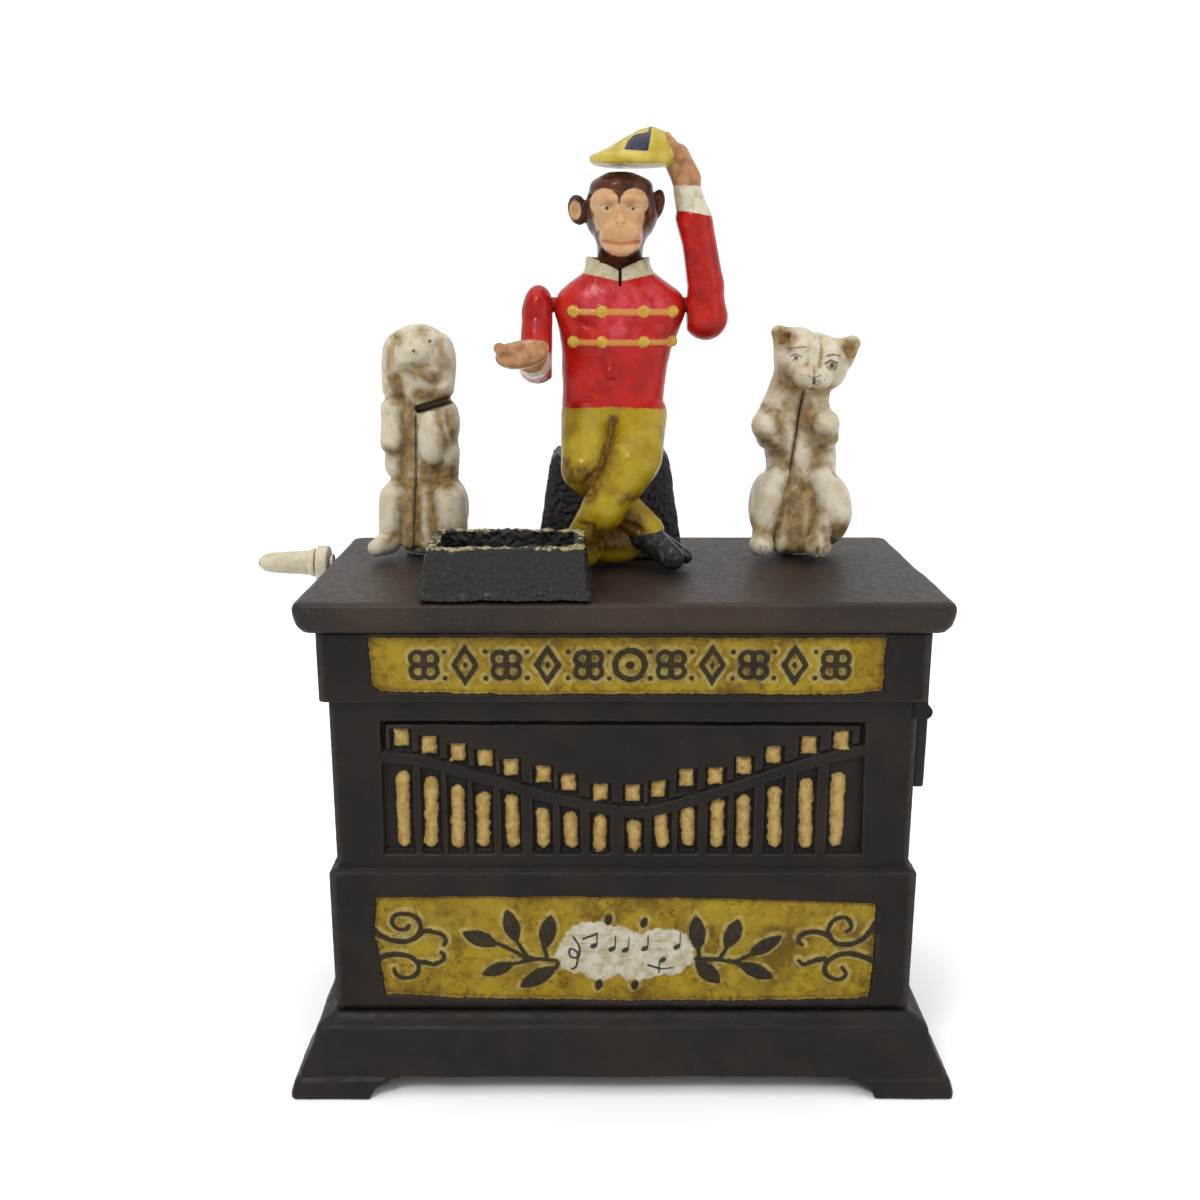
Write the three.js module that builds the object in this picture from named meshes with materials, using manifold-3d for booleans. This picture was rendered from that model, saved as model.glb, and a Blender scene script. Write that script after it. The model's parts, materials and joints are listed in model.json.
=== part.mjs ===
// Cast-iron mechanical bank: an organ case with a crank, a dog and a cat that turn round on spindles,
// and a seated monkey whose arms tip a coin into a hopper while they raise a hat.
// Millimetres, +Z up, Y to the back. The origin is the bottom centre of the whole object's box, crank included.
import * as THREE from "three";
import { mergeVertices } from "three/addons/utils/BufferGeometryUtils.js";
import Module from "manifold-3d";

const wasm = await Module();
wasm.setup();

// ---- driving dimensions -------------------------------------------------------------------
const SHIFT_X = 6.75; // the crank stands out on the left, so the case's own middle is this far right of the origin
const GAP = 0.3; // between pieces that touch
const TOP_Z = 105; // upper face of the top plate
const PLATE_UNDER = 98.6; // lower edge of the top plate
const PLATE_SKIN = 101.8; // inner ceiling, under the plate's skin
const PLATE_HALF_X = 64.2, PLATE_HALF_Y = 33.35;
const FRIEZE = { z0: 84, z1: 98.3, hx: 60.3, hy: 30.1 };
const MIDDLE = { z0: 47.5, z1: 84, hx: 58.7, hy: 28.8 };
const LOWER = { z0: 16.1, z1: 47.5, hx: 60.2, hy: 30.2 };
const INNER_X = 55.5, INNER_Y = 25.5; // inside faces of the side and end plates
const FOOT_HALF_X = 69, FOOT_HALF_Y = 38.3;
const SHAFT_Y = 15, SHAFT_Z = 86, SHAFT_R = 2.2;
const CRANK_R = 16.5; // crank throw
const ARM_X0 = -69.2, ARM_X1 = -66.4; // crank arm's two faces
const KNOB_TIP_X = -82.2;
const DOG_X = -44.5, CAT_X = 40.5, FIGURE_Y = 15;
const GEAR_TEETH = 12, GEAR_PITCH_R = 9, GEAR_FACE = 0.6, GEAR_BACKLASH = 0.32;
const SPINDLE_R = 2;
const MONKEY_X = -1.8, SHOULDER_Y = 8, SHOULDER_Z = 160, SHOULDER_R = 1.6;
const ROD_Y = 12.5, ROD_R = 0.9;
const HOPPER = { x0: -39.7, x1: -6.3, y0: -33.1, y1: -9.2, z1: 115.6, draft: 1.5 };
const BELL_X = 20, BELL_Z = 60;
const SLOT = { x0: -37, x1: -9, y0: -23.6, y1: -18.4 }; // coin slot in the top plate
const DOOR = { y0: -26.4, y1: 6.6, z0: 64.6, pinZ: 81.6, x0: 59.0, x1: 61.4, pinR: 0.6 };
const OUTLET = { y0: -24, y1: 2, z0: 66.6, z1: 79.6 };
const BOLT_X = 50, BOLT_Y = -18, BOLT_R = 2;
const HAM = { y: 21.5, z: 80.2 }; // striker's pivot
const BACK_RIVETS = [[BELL_X, BELL_Z, 1.5], [BELL_X, 81.6, 1.0], [BELL_X, 71.6, 0.8]]; // bell post, striker bracket, leaf spring
const HOPPER_SCREW_X = [-34.8, -11.2], HOPPER_SCREW_Y = -12.4;
const SEAT_SCREW = [-8.7, 12.0]; // runs up through the plate and the seat into the seated figure
const BELL = { x: BELL_X, z: BELL_Z, y0: 10.5, y1: 18, r: 13 };

// ---- helpers ------------------------------------------------------------------------------
const V = (x, y, z) => new THREE.Vector3(x, y, z);
function solid(geometry, matrix) {
  const g = geometry.index ? geometry.toNonIndexed() : geometry.clone();
  const p = new THREE.BufferGeometry().setAttribute("position", g.getAttribute("position"));
  if (matrix) p.applyMatrix4(matrix);
  const m = mergeVertices(p, 1e-4);
  // drop the faces that have no area
  const idx = m.index.array, keep = [];
  for (let i = 0; i < idx.length; i += 3)
    if (idx[i] !== idx[i + 1] && idx[i + 1] !== idx[i + 2] && idx[i] !== idx[i + 2]) keep.push(idx[i], idx[i + 1], idx[i + 2]);
  return new wasm.Manifold(new wasm.Mesh({ numProp: 3, vertProperties: m.attributes.position.array, triVerts: new Uint32Array(keep) }));
}
function geometryOf(manifold) {
  const m = manifold.getMesh(), n = m.numProp, v = new Float32Array(m.numVert * 3);
  for (let i = 0; i < m.numVert; i++) v.set(m.vertProperties.subarray(i * n, i * n + 3), i * 3);
  return new THREE.BufferGeometry().setAttribute("position", new THREE.BufferAttribute(v, 3)).setIndex(new THREE.BufferAttribute(m.triVerts, 1));
}
const at = (x, y, z) => new THREE.Matrix4().makeTranslation(x, y, z);
const box = (x0, x1, y0, y1, z0, z1) => solid(new THREE.BoxGeometry(x1 - x0, y1 - y0, z1 - z0), at((x0 + x1) / 2, (y0 + y1) / 2, (z0 + z1) / 2));
// a cylinder between two points, r0 at the first end and r1 at the second
function rod(a, b, r0, r1 = r0, seg = 16) {
  const A = V(...a), B = V(...b), d = B.clone().sub(A), L = d.length();
  const q = new THREE.Quaternion().setFromUnitVectors(V(0, 1, 0), d.normalize());
  const m = new THREE.Matrix4().compose(A.clone().add(B).multiplyScalar(0.5), q, V(1, 1, 1));
  return solid(new THREE.CylinderGeometry(r1, r0, L, seg), m);
}
// a turned solid: profile of [radius, distance along the axis], closed on the axis, axis from a along dir
function turned(a, dir, profile, seg = 16) {
  const g = new THREE.LatheGeometry(profile.map(([r, t]) => new THREE.Vector2(r, t)), seg);
  const q = new THREE.Quaternion().setFromUnitVectors(V(0, 1, 0), V(...dir).normalize());
  const s = solid(g, new THREE.Matrix4().compose(V(...a), q, V(1, 1, 1)));
  return s;
}
// a tapered limb with round ends
function limb(a, ra, b, rb, seg = 8) {
  const A = V(...a), B = V(...b), L = A.distanceTo(B), pts = [];
  const s = (ra - rb) / L, c = Math.sqrt(Math.max(0, 1 - s * s)), t0 = Math.asin(Math.max(-1, Math.min(1, s)));
  const n = 2;
  for (let i = 0; i <= n; i++) { const t = -Math.PI / 2 + ((t0 + Math.PI / 2) * i) / n; pts.push([i === 0 ? 0 : ra * Math.cos(t), ra * Math.sin(t)]); }
  for (let i = 0; i <= n; i++) { const t = t0 + ((Math.PI / 2 - t0) * i) / n; pts.push([i === n ? 0 : rb * Math.cos(t), L + rb * Math.sin(t)]); }
  return turned(a, B.sub(A).toArray(), pts, seg);
}
// an ellipsoid; rot in degrees about X, Y and Z
function egg(c, r, rot = [0, 0, 0], seg = 9, rings = 5) {
  const q = new THREE.Quaternion().setFromEuler(new THREE.Euler(...rot.map((d) => (d * Math.PI) / 180)));
  return solid(new THREE.SphereGeometry(1, seg, rings), new THREE.Matrix4().compose(V(...c), q, V(...r)));
}
// oval sections [centre x, centre y, half x, half y, z] skinned from the bottom up
function loft(rows, seg = 12) {
  const pos = [], idx = [], n = rows.length;
  for (const [cx, cy, rx, ry, z] of rows) for (let i = 0; i < seg; i++) { const a = (i * 2 * Math.PI) / seg; pos.push(cx + rx * Math.cos(a), cy + ry * Math.sin(a), z); }
  for (let k = 0; k < n - 1; k++) for (let i = 0; i < seg; i++) { const a = k * seg + i, b = k * seg + ((i + 1) % seg); idx.push(a, b, b + seg, a, b + seg, a + seg); }
  for (let i = 1; i < seg - 1; i++) { idx.push(0, i + 1, i); const t = (n - 1) * seg; idx.push(t, t + i, t + i + 1); }
  return solid(new THREE.BufferGeometry().setAttribute("position", new THREE.BufferAttribute(new Float32Array(pos), 3)).setIndex(idx));
}
const join = (list) => list.reduce((a, b) => a.add(b));
// an outline in two axes, pushed along the third: plane "xz" runs along Y, "yz" along X, "xy" along Z
function prism(points, plane, from, to) {
  const s = new THREE.Shape(points.map(([a, b]) => new THREE.Vector2(a, b)));
  const g = new THREE.ExtrudeGeometry(s, { depth: to - from, bevelEnabled: false });
  const m = new THREE.Matrix4();
  if (plane === "xy") m.makeTranslation(0, 0, from);
  if (plane === "xz") m.makeBasis(V(1, 0, 0), V(0, 0, 1), V(0, -1, 0)).premultiply(at(0, to, 0));
  if (plane === "yz") m.makeBasis(V(0, 1, 0), V(0, 0, 1), V(1, 0, 0)).premultiply(at(from, 0, 0));
  return solid(g, m);
}
// a stack of rectangles, each [half x, half y, z, corner cut], joined into one tapering solid
function stack(rows) {
  const pos = [], idx = [], n = 8;
  const ring = ([hx, hy, z, c]) => [[hx - c, -hy], [hx, -hy + c], [hx, hy - c], [hx - c, hy], [-hx + c, hy], [-hx, hy - c], [-hx, -hy + c], [-hx + c, -hy]].map(([x, y]) => [x, y, z]);
  rows.forEach((r) => ring(r).forEach((p) => pos.push(...p)));
  for (let k = 0; k < rows.length - 1; k++)
    for (let i = 0; i < n; i++) { const a = k * n + i, b = k * n + ((i + 1) % n), c = a + n, d = b + n; idx.push(a, b, d, a, d, c); }
  for (let i = 1; i < n - 1; i++) idx.push(0, i + 1, i);
  const t = (rows.length - 1) * n;
  for (let i = 1; i < n - 1; i++) idx.push(t, t + i, t + i + 1);
  return solid(new THREE.BufferGeometry().setAttribute("position", new THREE.BufferAttribute(new Float32Array(pos), 3)).setIndex(idx));
}
// straight bevel gear for a 1:1 pair at right angles: apex at the origin, teeth towards +Z, in its own frame
function bevelGear(phase, bore, hubR, hubEnd) {
  const z = GEAR_TEETH, d = Math.PI / 4, rp = GEAR_PITCH_R, m = (2 * rp) / z;
  const Rb = rp / Math.cos(d), base = Rb * Math.cos((20 * Math.PI) / 180), tip = Rb + 0.9 * m, root = Rb - 1.15 * m;
  const inv = (a) => Math.tan(a) - a;
  const halfPitch = (Math.PI * m) / 4 / Rb - GEAR_BACKLASH / 2 / Rb + inv((20 * Math.PI) / 180);
  const flank = (r) => (r <= base ? halfPitch : halfPitch - inv(Math.acos(base / r)));
  const radii = [root, (base + tip) / 2 - 0.2, tip];
  const apexZ = rp / Math.sin(d) / Math.cos(d);
  const ring = [];
  for (let t = 0; t < z; t++) {
    const side = [];
    for (const r of radii) side.push([r, flank(Math.max(r, base))]);
    const both = [...side.map(([r, a]) => [r, -a]), ...side.slice().reverse()];
    for (const [rho, psi] of both) {
      const phi = psi / Math.cos(d) + ((t + phase) * 2 * Math.PI) / z, r = rho * Math.cos(d);
      ring.push([r * Math.cos(phi), r * Math.sin(phi), apexZ - rho * Math.sin(d)]);
    }
  }
  // rings of points, each stitched to the next: small end, teeth, back, hub and bore
  const circle = (r, h) => Array.from({ length: z }, (_, i) => { const a = ((i - 0.5 + phase) * 2 * Math.PI) / z; return [r * Math.cos(a), r * Math.sin(a), h]; });
  const back = rp + 1.2;
  const rings = [circle(bore, rp * GEAR_FACE - 0.2), ring.map((p) => p.map((c) => c * GEAR_FACE)), ring, circle(hubR, back), circle(hubR, hubEnd), circle(bore, hubEnd)];
  const pos = [], idx = [], start = [];
  rings.forEach((g) => { start.push(pos.length / 3); g.forEach((p) => pos.push(...p)); });
  rings.forEach((A, k) => {
    const B = rings[(k + 1) % rings.length], sa = start[k], sb = start[(k + 1) % rings.length], n = Math.max(A.length, B.length);
    for (let i = 0; i < n; i++) {
      const ia = Math.floor((i * A.length) / n), ja = Math.floor(((i + 1) * A.length) / n) % A.length;
      const ib = Math.floor((i * B.length) / n), jb = Math.floor(((i + 1) * B.length) / n) % B.length;
      if (ia !== ja) idx.push(sa + ia, sa + ja, sb + ib);
      if (ib !== jb) idx.push(sa + ja, sb + jb, sb + ib);
    }
  });
  return new THREE.BufferGeometry().setAttribute("position", new THREE.BufferAttribute(new Float32Array(pos), 3)).setIndex(idx);
}

// ---- materials ----------------------------------------------------------------------------
const mat = (color, roughness, metalness) => new THREE.MeshStandardMaterial({ color, roughness, metalness });
const BLACK = mat(0x2b2724, 0.55, 0.15), CRINKLE = mat(0x222022, 0.8, 0.1), CREAM = mat(0xcfc6b0, 0.6, 0), RED = mat(0xb81d14, 0.4, 0);
const YELLOW = mat(0xb89a22, 0.45, 0), STEEL = mat(0x8c8a86, 0.45, 0.8), IRON = mat(0x4a4642, 0.6, 0.6), BRASS = mat(0xb08a3c, 0.35, 0.9);

const root = new THREE.Group();
root.position.x = SHIFT_X;
const group = (name) => { const g = new THREE.Group(); root.add(g); return g; };
const caseGroup = group("case"), crankGroup = group("crank"), dogGroup = group("dog"), catGroup = group("cat"), monkeyGroup = group("monkey");
function put(parent, name, manifold, material) {
  const mesh = new THREE.Mesh(geometryOf(manifold), material);
  mesh.name = name;
  parent.add(mesh);
  return manifold;
}

// ---- the case -----------------------------------------------------------------------------
// plinth: a flared hollow casting with a floor, standing on four bracket feet
let plinth = stack([[69, 38.3, 0, 1.2], [68.4, 37.7, 3.6, 1.2], [66.6, 35.9, 6.6, 1], [65.2, 34.5, 9.6, 1], [64.4, 33.7, 12.0, 1], [64.2, 33.4, 13.4, 1], [63.2, 32.4, 14.2, 0.8], [60.6, 30.6, 15.8, 0.5]]);
plinth = plinth.subtract(stack([[65.4, 34.7, -1, 0.5], [62.6, 31.9, 6.4, 0.5], [61, 30.2, 8.2, 0.5]])); // open underneath
plinth = plinth.subtract(box(-54, 54, -24, 24, 11.2, 20)); // shallow well above the floor
plinth = plinth.subtract(prism([[-53, -1], [53, -1], [49.5, 3.4], [46, 4.3], [-46, 4.3], [-49.5, 3.4]].reverse(), "xz", -40, 40));
plinth = plinth.subtract(prism([[-22.5, -1], [22.5, -1], [19.5, 3.4], [17, 4.3], [-17, 4.3], [-19.5, 3.4]].reverse(), "yz", -72, 72));
for (const s of [-1, 1]) plinth = plinth.subtract(rod([s * BOLT_X, BOLT_Y, 2], [s * BOLT_X, BOLT_Y, 16], BOLT_R + GAP, BOLT_R + GAP, 12));
put(caseGroup, "base_plinth", plinth, BLACK);

// front and back plates: frieze, recessed middle and lower panel in one casting
function endPlate(sign) {
  const Y = (a, b) => (sign < 0 ? [-b, -a] : [a, b]);
  const slab = (hx, out, z0, z1) => { const [y0, y1] = Y(INNER_Y, out); return box(-hx, hx, y0, y1, z0, z1); };
  return join([slab(FRIEZE.hx, FRIEZE.hy, FRIEZE.z0, FRIEZE.z1), slab(MIDDLE.hx, MIDDLE.hy, MIDDLE.z0 - 1, MIDDLE.z1 + 1), slab(LOWER.hx, LOWER.hy, LOWER.z0, LOWER.z1)]);
}
const lug = (y0, y1) => join([box(57.6, 60.2, y0, y1, 80.2, 84.6), rod([60.2, y0, DOOR.pinZ], [60.2, y1, DOOR.pinZ], 1.4, 1.4, 12)]);
let front = endPlate(-1).add(lug(-29.2, DOOR.y0 - GAP)); // the front lug of the coin door
front = front.subtract(rod([60.2, -28.6, DOOR.pinZ], [60.2, -26, DOOR.pinZ], DOOR.pinR + 0.15, DOOR.pinR + 0.15, 12));
front = front.subtract(box(-48.6, 48.4, -31, -FRIEZE.hy + 0.8, 86.2, 97.4)); // frieze panel
front = front.subtract(box(-47.6, 46.8, -31, -MIDDLE.hy + 0.9, 51.2, 79.6)); // pipe panel
front = front.subtract(box(-50.2, 49.4, -31, -LOWER.hy + 0.8, 18.6, 41.6)); // lower panel
// organ pipes and the mouldings of the pipe panel
const pipes = [];
for (let i = 0; i < 16; i++) {
  const x = -44.2 + (i * 88.6) / 15, c = Math.abs(i - 7.5) / 7.5;
  const sag = 63.6 + 8.0 * Math.pow(c, 1.25);
  pipes.push(box(x - 1.1, x + 1.1, -MIDDLE.hy, -MIDDLE.hy + 1.2, 52.8, sag - 3.4));
}
front = join([front, ...pipes]);
put(caseGroup, "front_plate", front, BLACK);
let back = endPlate(1);
for (const [x, z, r] of BACK_RIVETS) back = back.subtract(rod([x, 24, z], [x, 32, z], r + GAP, r + GAP, 12));
put(caseGroup, "back_plate", back, BLACK);

function sidePlate(s) {
  const X = (a, b) => (s < 0 ? [-b, -a] : [a, b]);
  const hy = INNER_Y - GAP;
  const slab = (out, z0, z1) => { const [x0, x1] = X(INNER_X, out); return box(x0, x1, -hy, hy, z0, z1); };
  return join([slab(FRIEZE.hx, FRIEZE.z0, FRIEZE.z1), slab(MIDDLE.hx, MIDDLE.z0 - 1, MIDDLE.z1 + 1), slab(LOWER.hx, LOWER.z0, LOWER.z1)]);
}
let left = sidePlate(-1).subtract(rod([-63, SHAFT_Y, SHAFT_Z], [-50, SHAFT_Y, SHAFT_Z], 4.3));
put(caseGroup, "left_side_plate", left, BLACK);
let right = sidePlate(1).subtract(rod([50, SHAFT_Y, SHAFT_Z], [57.6, SHAFT_Y, SHAFT_Z], 4.3));
right = right.subtract(box(50, 62, OUTLET.y0, OUTLET.y1, OUTLET.z0, OUTLET.z1)); // coin outlet
// the lug behind the door carries the pin
right = join([right, lug(DOOR.y1 + GAP, DOOR.y1 + 2.4)]);
right = right.subtract(rod([60.2, DOOR.y1, DOOR.pinZ], [60.2, DOOR.y1 + 3, DOOR.pinZ], DOOR.pinR + 0.15, DOOR.pinR + 0.15, 12));
put(caseGroup, "right_side_plate", right, BLACK);

// top plate: a shallow tray turned over, with a bevelled edge
let top = stack([[62.7, 31.9, PLATE_UNDER, 1.4], [63.4, 32.6, 99.6, 1.6], [64.2, 33.35, 103.4, 1.8], [64.2, 33.35, 104.2, 1.8], [63.5, 32.7, TOP_Z, 1.6]]);
top = top.subtract(box(-INNER_X, INNER_X, -INNER_Y, INNER_Y, 90, PLATE_SKIN));
for (const s of [-1, 1]) {
  top = top.add(rod([s * BOLT_X, BOLT_Y, 94], [s * BOLT_X, BOLT_Y, PLATE_SKIN + 1], 5, 5, 16));
  top = top.subtract(rod([s * BOLT_X, BOLT_Y, 90], [s * BOLT_X, BOLT_Y, 101.4], BOLT_R + GAP));
}
for (const x of [DOG_X, CAT_X]) top = top.subtract(rod([x, FIGURE_Y, 100], [x, FIGURE_Y, 106], SPINDLE_R + 0.1));
top = top.subtract(rod([MONKEY_X, ROD_Y, 100], [MONKEY_X, ROD_Y, 106], ROD_R + 0.4, ROD_R + 0.4, 12));
top = top.subtract(box(SLOT.x0, SLOT.x1, SLOT.y0, SLOT.y1, 100, 106));
for (const x of HOPPER_SCREW_X) top = top.subtract(rod([x, HOPPER_SCREW_Y, 100], [x, HOPPER_SCREW_Y, 106], 1.4, 1.4, 10));
top = top.subtract(rod([SEAT_SCREW[0], SEAT_SCREW[1], 100], [SEAT_SCREW[0], SEAT_SCREW[1], 106], 1.7, 1.7, 12));
put(caseGroup, "top_plate", top, BLACK);

for (const [s, n] of [[-1, "left"], [1, "right"]]) {
  const x = s * BOLT_X;
  let b = turned([x, BOLT_Y, 5.3], [0, 0, 1], [[0, 0], [3.2, 0], [4, 0.9], [4, 2.6], [0, 2.6]].map(([r, t]) => [r, t]), 16);
  b = b.add(rod([x, BOLT_Y, 7], [x, BOLT_Y, 100.8], BOLT_R, BOLT_R, 12));
  b = b.subtract(box(x - 5, x + 5, BOLT_Y - 0.5, BOLT_Y + 0.5, 4, 6.1)); // screwdriver slot
  put(caseGroup, "tie_bolt_" + n, b, STEEL);
}
put(caseGroup, "left_shaft_bush", rod([-62.6, SHAFT_Y, SHAFT_Z], [-54.6, SHAFT_Y, SHAFT_Z], 4).subtract(rod([-64, SHAFT_Y, SHAFT_Z], [-50, SHAFT_Y, SHAFT_Z], SHAFT_R + 0.12)), BRASS);
put(caseGroup, "right_shaft_bush", rod([53.6, SHAFT_Y, SHAFT_Z], [57.3, SHAFT_Y, SHAFT_Z], 4).subtract(rod([50, SHAFT_Y, SHAFT_Z], [60, SHAFT_Y, SHAFT_Z], SHAFT_R + 0.12)), BRASS);

// ---- coin hopper over the slot --------------------------------------------------------------
const H = HOPPER, hcx = (H.x0 + H.x1) / 2, hcy = (H.y0 + H.y1) / 2, hhx = (H.x1 - H.x0) / 2, hhy = (H.y1 - H.y0) / 2;
let hopper = stack([[hhx, hhy, TOP_Z + GAP, 0.6], [hhx, hhy, TOP_Z + 1.4, 0.6], [hhx - 0.5, hhy - 0.5, TOP_Z + 1.6, 0.6], [hhx - H.draft, hhy - 1.7, H.z1, 0.6]]).translate([hcx, hcy, 0]);
hopper = hopper.subtract(stack([[SLOT.x1 - hcx - 0.4, 3.4, TOP_Z - 2, 0.2], [SLOT.x1 - hcx - 0.2, 3.8, TOP_Z + 2.2, 0.3], [hhx - H.draft - 2.0, hhy - 3.8, H.z1 - 5.5, 0.4], [hhx - H.draft - 1.9, hhy - 3.6, H.z1 + 1, 0.4]]).translate([hcx, hcy, 0]));
for (const x of HOPPER_SCREW_X) hopper = hopper.subtract(rod([x, HOPPER_SCREW_Y, 104], [x, HOPPER_SCREW_Y, 108.6], 1.4, 1.4, 10));
put(caseGroup, "coin_hopper", hopper, CRINKLE);
for (const [x, n] of [[HOPPER_SCREW_X[0], "left"], [HOPPER_SCREW_X[1], "right"]])
  put(caseGroup, "hopper_screw_" + n, rod([x, HOPPER_SCREW_Y, 101.4], [x, HOPPER_SCREW_Y, 108.2], 1.1, 1.1, 10).add(rod([x, HOPPER_SCREW_Y, 99.8], [x, HOPPER_SCREW_Y, 101.5], 2.4, 2.4, 12)), STEEL);

// ---- coin door in the right side ------------------------------------------------------------
let door = prism([[DOOR.x0, DOOR.z0 + 0.4], [DOOR.x0 + 0.4, DOOR.z0], [DOOR.x1 - 0.4, DOOR.z0], [DOOR.x1, DOOR.z0 + 0.4], [DOOR.x1, DOOR.pinZ], [60.2, DOOR.pinZ], [DOOR.x0, DOOR.pinZ]], "xz", DOOR.y0, DOOR.y1);
door = door.add(rod([60.2, DOOR.y0, DOOR.pinZ], [60.2, DOOR.y1, DOOR.pinZ], 1.2, 1.2, 16));
door = door.subtract(rod([60.2, DOOR.y0 - 1, DOOR.pinZ], [60.2, DOOR.y1 + 1, DOOR.pinZ], DOOR.pinR + 0.12, DOOR.pinR + 0.12, 12));
put(caseGroup, "coin_door", door, BLACK);
put(caseGroup, "coin_door_pin", rod([60.2, -28.4, DOOR.pinZ], [60.2, DOOR.y1 + 3, DOOR.pinZ], DOOR.pinR, DOOR.pinR, 12).add(rod([60.2, DOOR.y1 + 2.7, DOOR.pinZ], [60.2, DOOR.y1 + 3.5, DOOR.pinZ], 1.1, 1.1, 12)), STEEL);

// ---- chime: bell on a post, struck by a sprung hammer ----------------------------------------
let bell = turned([BELL.x, BELL.y0, BELL.z], [0, 1, 0], [[0, 0], [5, 0.2], [9.6, 1.8], [12.3, 4.6], [BELL.r, 7.5], [BELL.r - 1, 7.5], [11.1, 4.9], [8.7, 2.6], [4.6, 1.3], [0, 1.1]], 16);
bell = bell.subtract(rod([BELL.x, 9, BELL.z], [BELL.x, 14, BELL.z], 1.6, 1.6, 12));
put(caseGroup, "chime_bell", bell, BRASS);
put(caseGroup, "bell_post", rod([BELL.x, 12, BELL.z], [BELL.x, 25.2, BELL.z], 3, 3, 12).add(rod([BELL.x, 8.3, BELL.z], [BELL.x, 12.2, BELL.z], 1.3, 1.3, 12)).add(rod([BELL.x, 25, BELL.z], [BELL.x, 29.3, BELL.z], 1.5, 1.5, 12)).add(rod([BELL.x, 29.1, BELL.z], [BELL.x, 29.9, BELL.z], 2.6, 2.0, 12)), STEEL);
put(caseGroup, "bell_nut", rod([BELL.x, 8.4, BELL.z], [BELL.x, 10.2, BELL.z], 3, 3, 6).subtract(rod([BELL.x, 8, BELL.z], [BELL.x, 11, BELL.z], 1.6, 1.6, 12)), STEEL);

// two ears on a foot, fixed to the back plate
const ear = (x0, x1) => prism([[18.9, 78.4], [25.2, 76.6], [25.2, 84.0], [19.4, 82.4]], "yz", x0, x1);
let bracket = join([ear(15.4, 16.9), ear(23.1, 24.6), box(15.4, 24.6, 23.9, 25.2, 76.6, 84)]);
bracket = bracket.subtract(rod([10, HAM.y, HAM.z], [30, HAM.y, HAM.z], 1.15, 1.15, 12));
bracket = bracket.subtract(rod([BELL_X, 22, 81.6], [BELL_X, 26, 81.6], 1.3, 1.3, 12));
put(caseGroup, "hammer_bracket", bracket, IRON);
put(caseGroup, "bracket_rivet", rod([BELL_X, 24.1, 81.6], [BELL_X, 29.3, 81.6], 1.0, 1.0, 12).add(rod([BELL_X, 29.1, 81.6], [BELL_X, 29.8, 81.6], 2.1, 1.6, 12)), STEEL);
put(caseGroup, "hammer_pin", rod([15, HAM.y, HAM.z], [25, HAM.y, HAM.z], 0.95, 0.95, 12).add(rod([24.9, HAM.y, HAM.z], [25.7, HAM.y, HAM.z], 1.7, 1.7, 12)), STEEL);
let hammer = prism([[HAM.y - 5.2, 76.6], [HAM.y - 4.0, 75.9], [HAM.y, 78.4], [HAM.y + 1.2, 79.4], [HAM.y + 1.2, 81.0], [HAM.y - 1, 81.6], [HAM.y - 4.6, 78.4]], "yz", 18.8, 21.2);
hammer = join([hammer, rod([17.3, HAM.y, HAM.z], [22.7, HAM.y, HAM.z], 1.9, 1.9, 12), egg([20, HAM.y - 5.0, 76.3], [2.1, 1.9, 1.9])]);
hammer = hammer.subtract(rod([10, HAM.y, HAM.z], [30, HAM.y, HAM.z], 1.05, 1.05, 12));
put(caseGroup, "chime_hammer", hammer, IRON);
put(caseGroup, "hammer_spring", prism([[25.2, 73.4], [24.8, 73.4], [24.8, 70.4], [20.8, 76.3], [20.4, 76.0], [24.4, 69.4], [25.2, 69.4]], "yz", 18.6, 21.4).subtract(rod([BELL_X, 22, 71.6], [BELL_X, 26, 71.6], 1.1, 1.1, 12)), STEEL);
put(caseGroup, "spring_rivet", rod([BELL_X, 24.9, 71.6], [BELL_X, 29.3, 71.6], 0.8, 0.8, 12).add(rod([BELL_X, 29.1, 71.6], [BELL_X, 29.8, 71.6], 1.8, 1.4, 12)), STEEL);

// ---- crank, shaft and its gears --------------------------------------------------------------
put(crankGroup, "crank_shaft", rod([ARM_X0 - 0.5, SHAFT_Y, SHAFT_Z], [57.0, SHAFT_Y, SHAFT_Z], SHAFT_R), STEEL);
const KZ = SHAFT_Z + CRANK_R;
let arm = prism([[SHAFT_Y - 4.2, SHAFT_Z], [SHAFT_Y + 4.2, SHAFT_Z], [SHAFT_Y + 3.2, KZ], [SHAFT_Y - 3.2, KZ]], "yz", ARM_X0, ARM_X1);
arm = join([arm, rod([ARM_X0, SHAFT_Y, SHAFT_Z], [ARM_X1 + 2.6, SHAFT_Y, SHAFT_Z], 4.8, 4.8, 20), rod([ARM_X0, SHAFT_Y, KZ], [ARM_X1, SHAFT_Y, KZ], 3.9, 3.9, 20)]);
arm = arm.subtract(rod([-75, SHAFT_Y, SHAFT_Z], [-60, SHAFT_Y, SHAFT_Z], SHAFT_R + GAP)).subtract(rod([-75, SHAFT_Y, KZ], [-60, SHAFT_Y, KZ], 1.3, 1.3, 12));
put(crankGroup, "crank_arm", arm, CREAM);
put(crankGroup, "knob_pin", rod([ARM_X1 + 0.6, SHAFT_Y, KZ], [KNOB_TIP_X - 0.3 + 0.001, SHAFT_Y, KZ], 1.0, 1.0, 12).add(rod([ARM_X1 + 0.3, SHAFT_Y, KZ], [ARM_X1 + 0.9, SHAFT_Y, KZ], 2.0, 2.0, 12)), STEEL);
const knobAxis = [ARM_X0 - 0.3, SHAFT_Y, KZ];
let knob = turned(knobAxis, [-1, 0, 0], [[0, 0], [3.2, 0], [3.2, 0.7], [2.7, 1.3], [2.65, 3], [2.5, 6.5], [2.25, 10], [1.95, 11.8], [1.4, 12.5], [0, 12.65]], 16);
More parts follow.
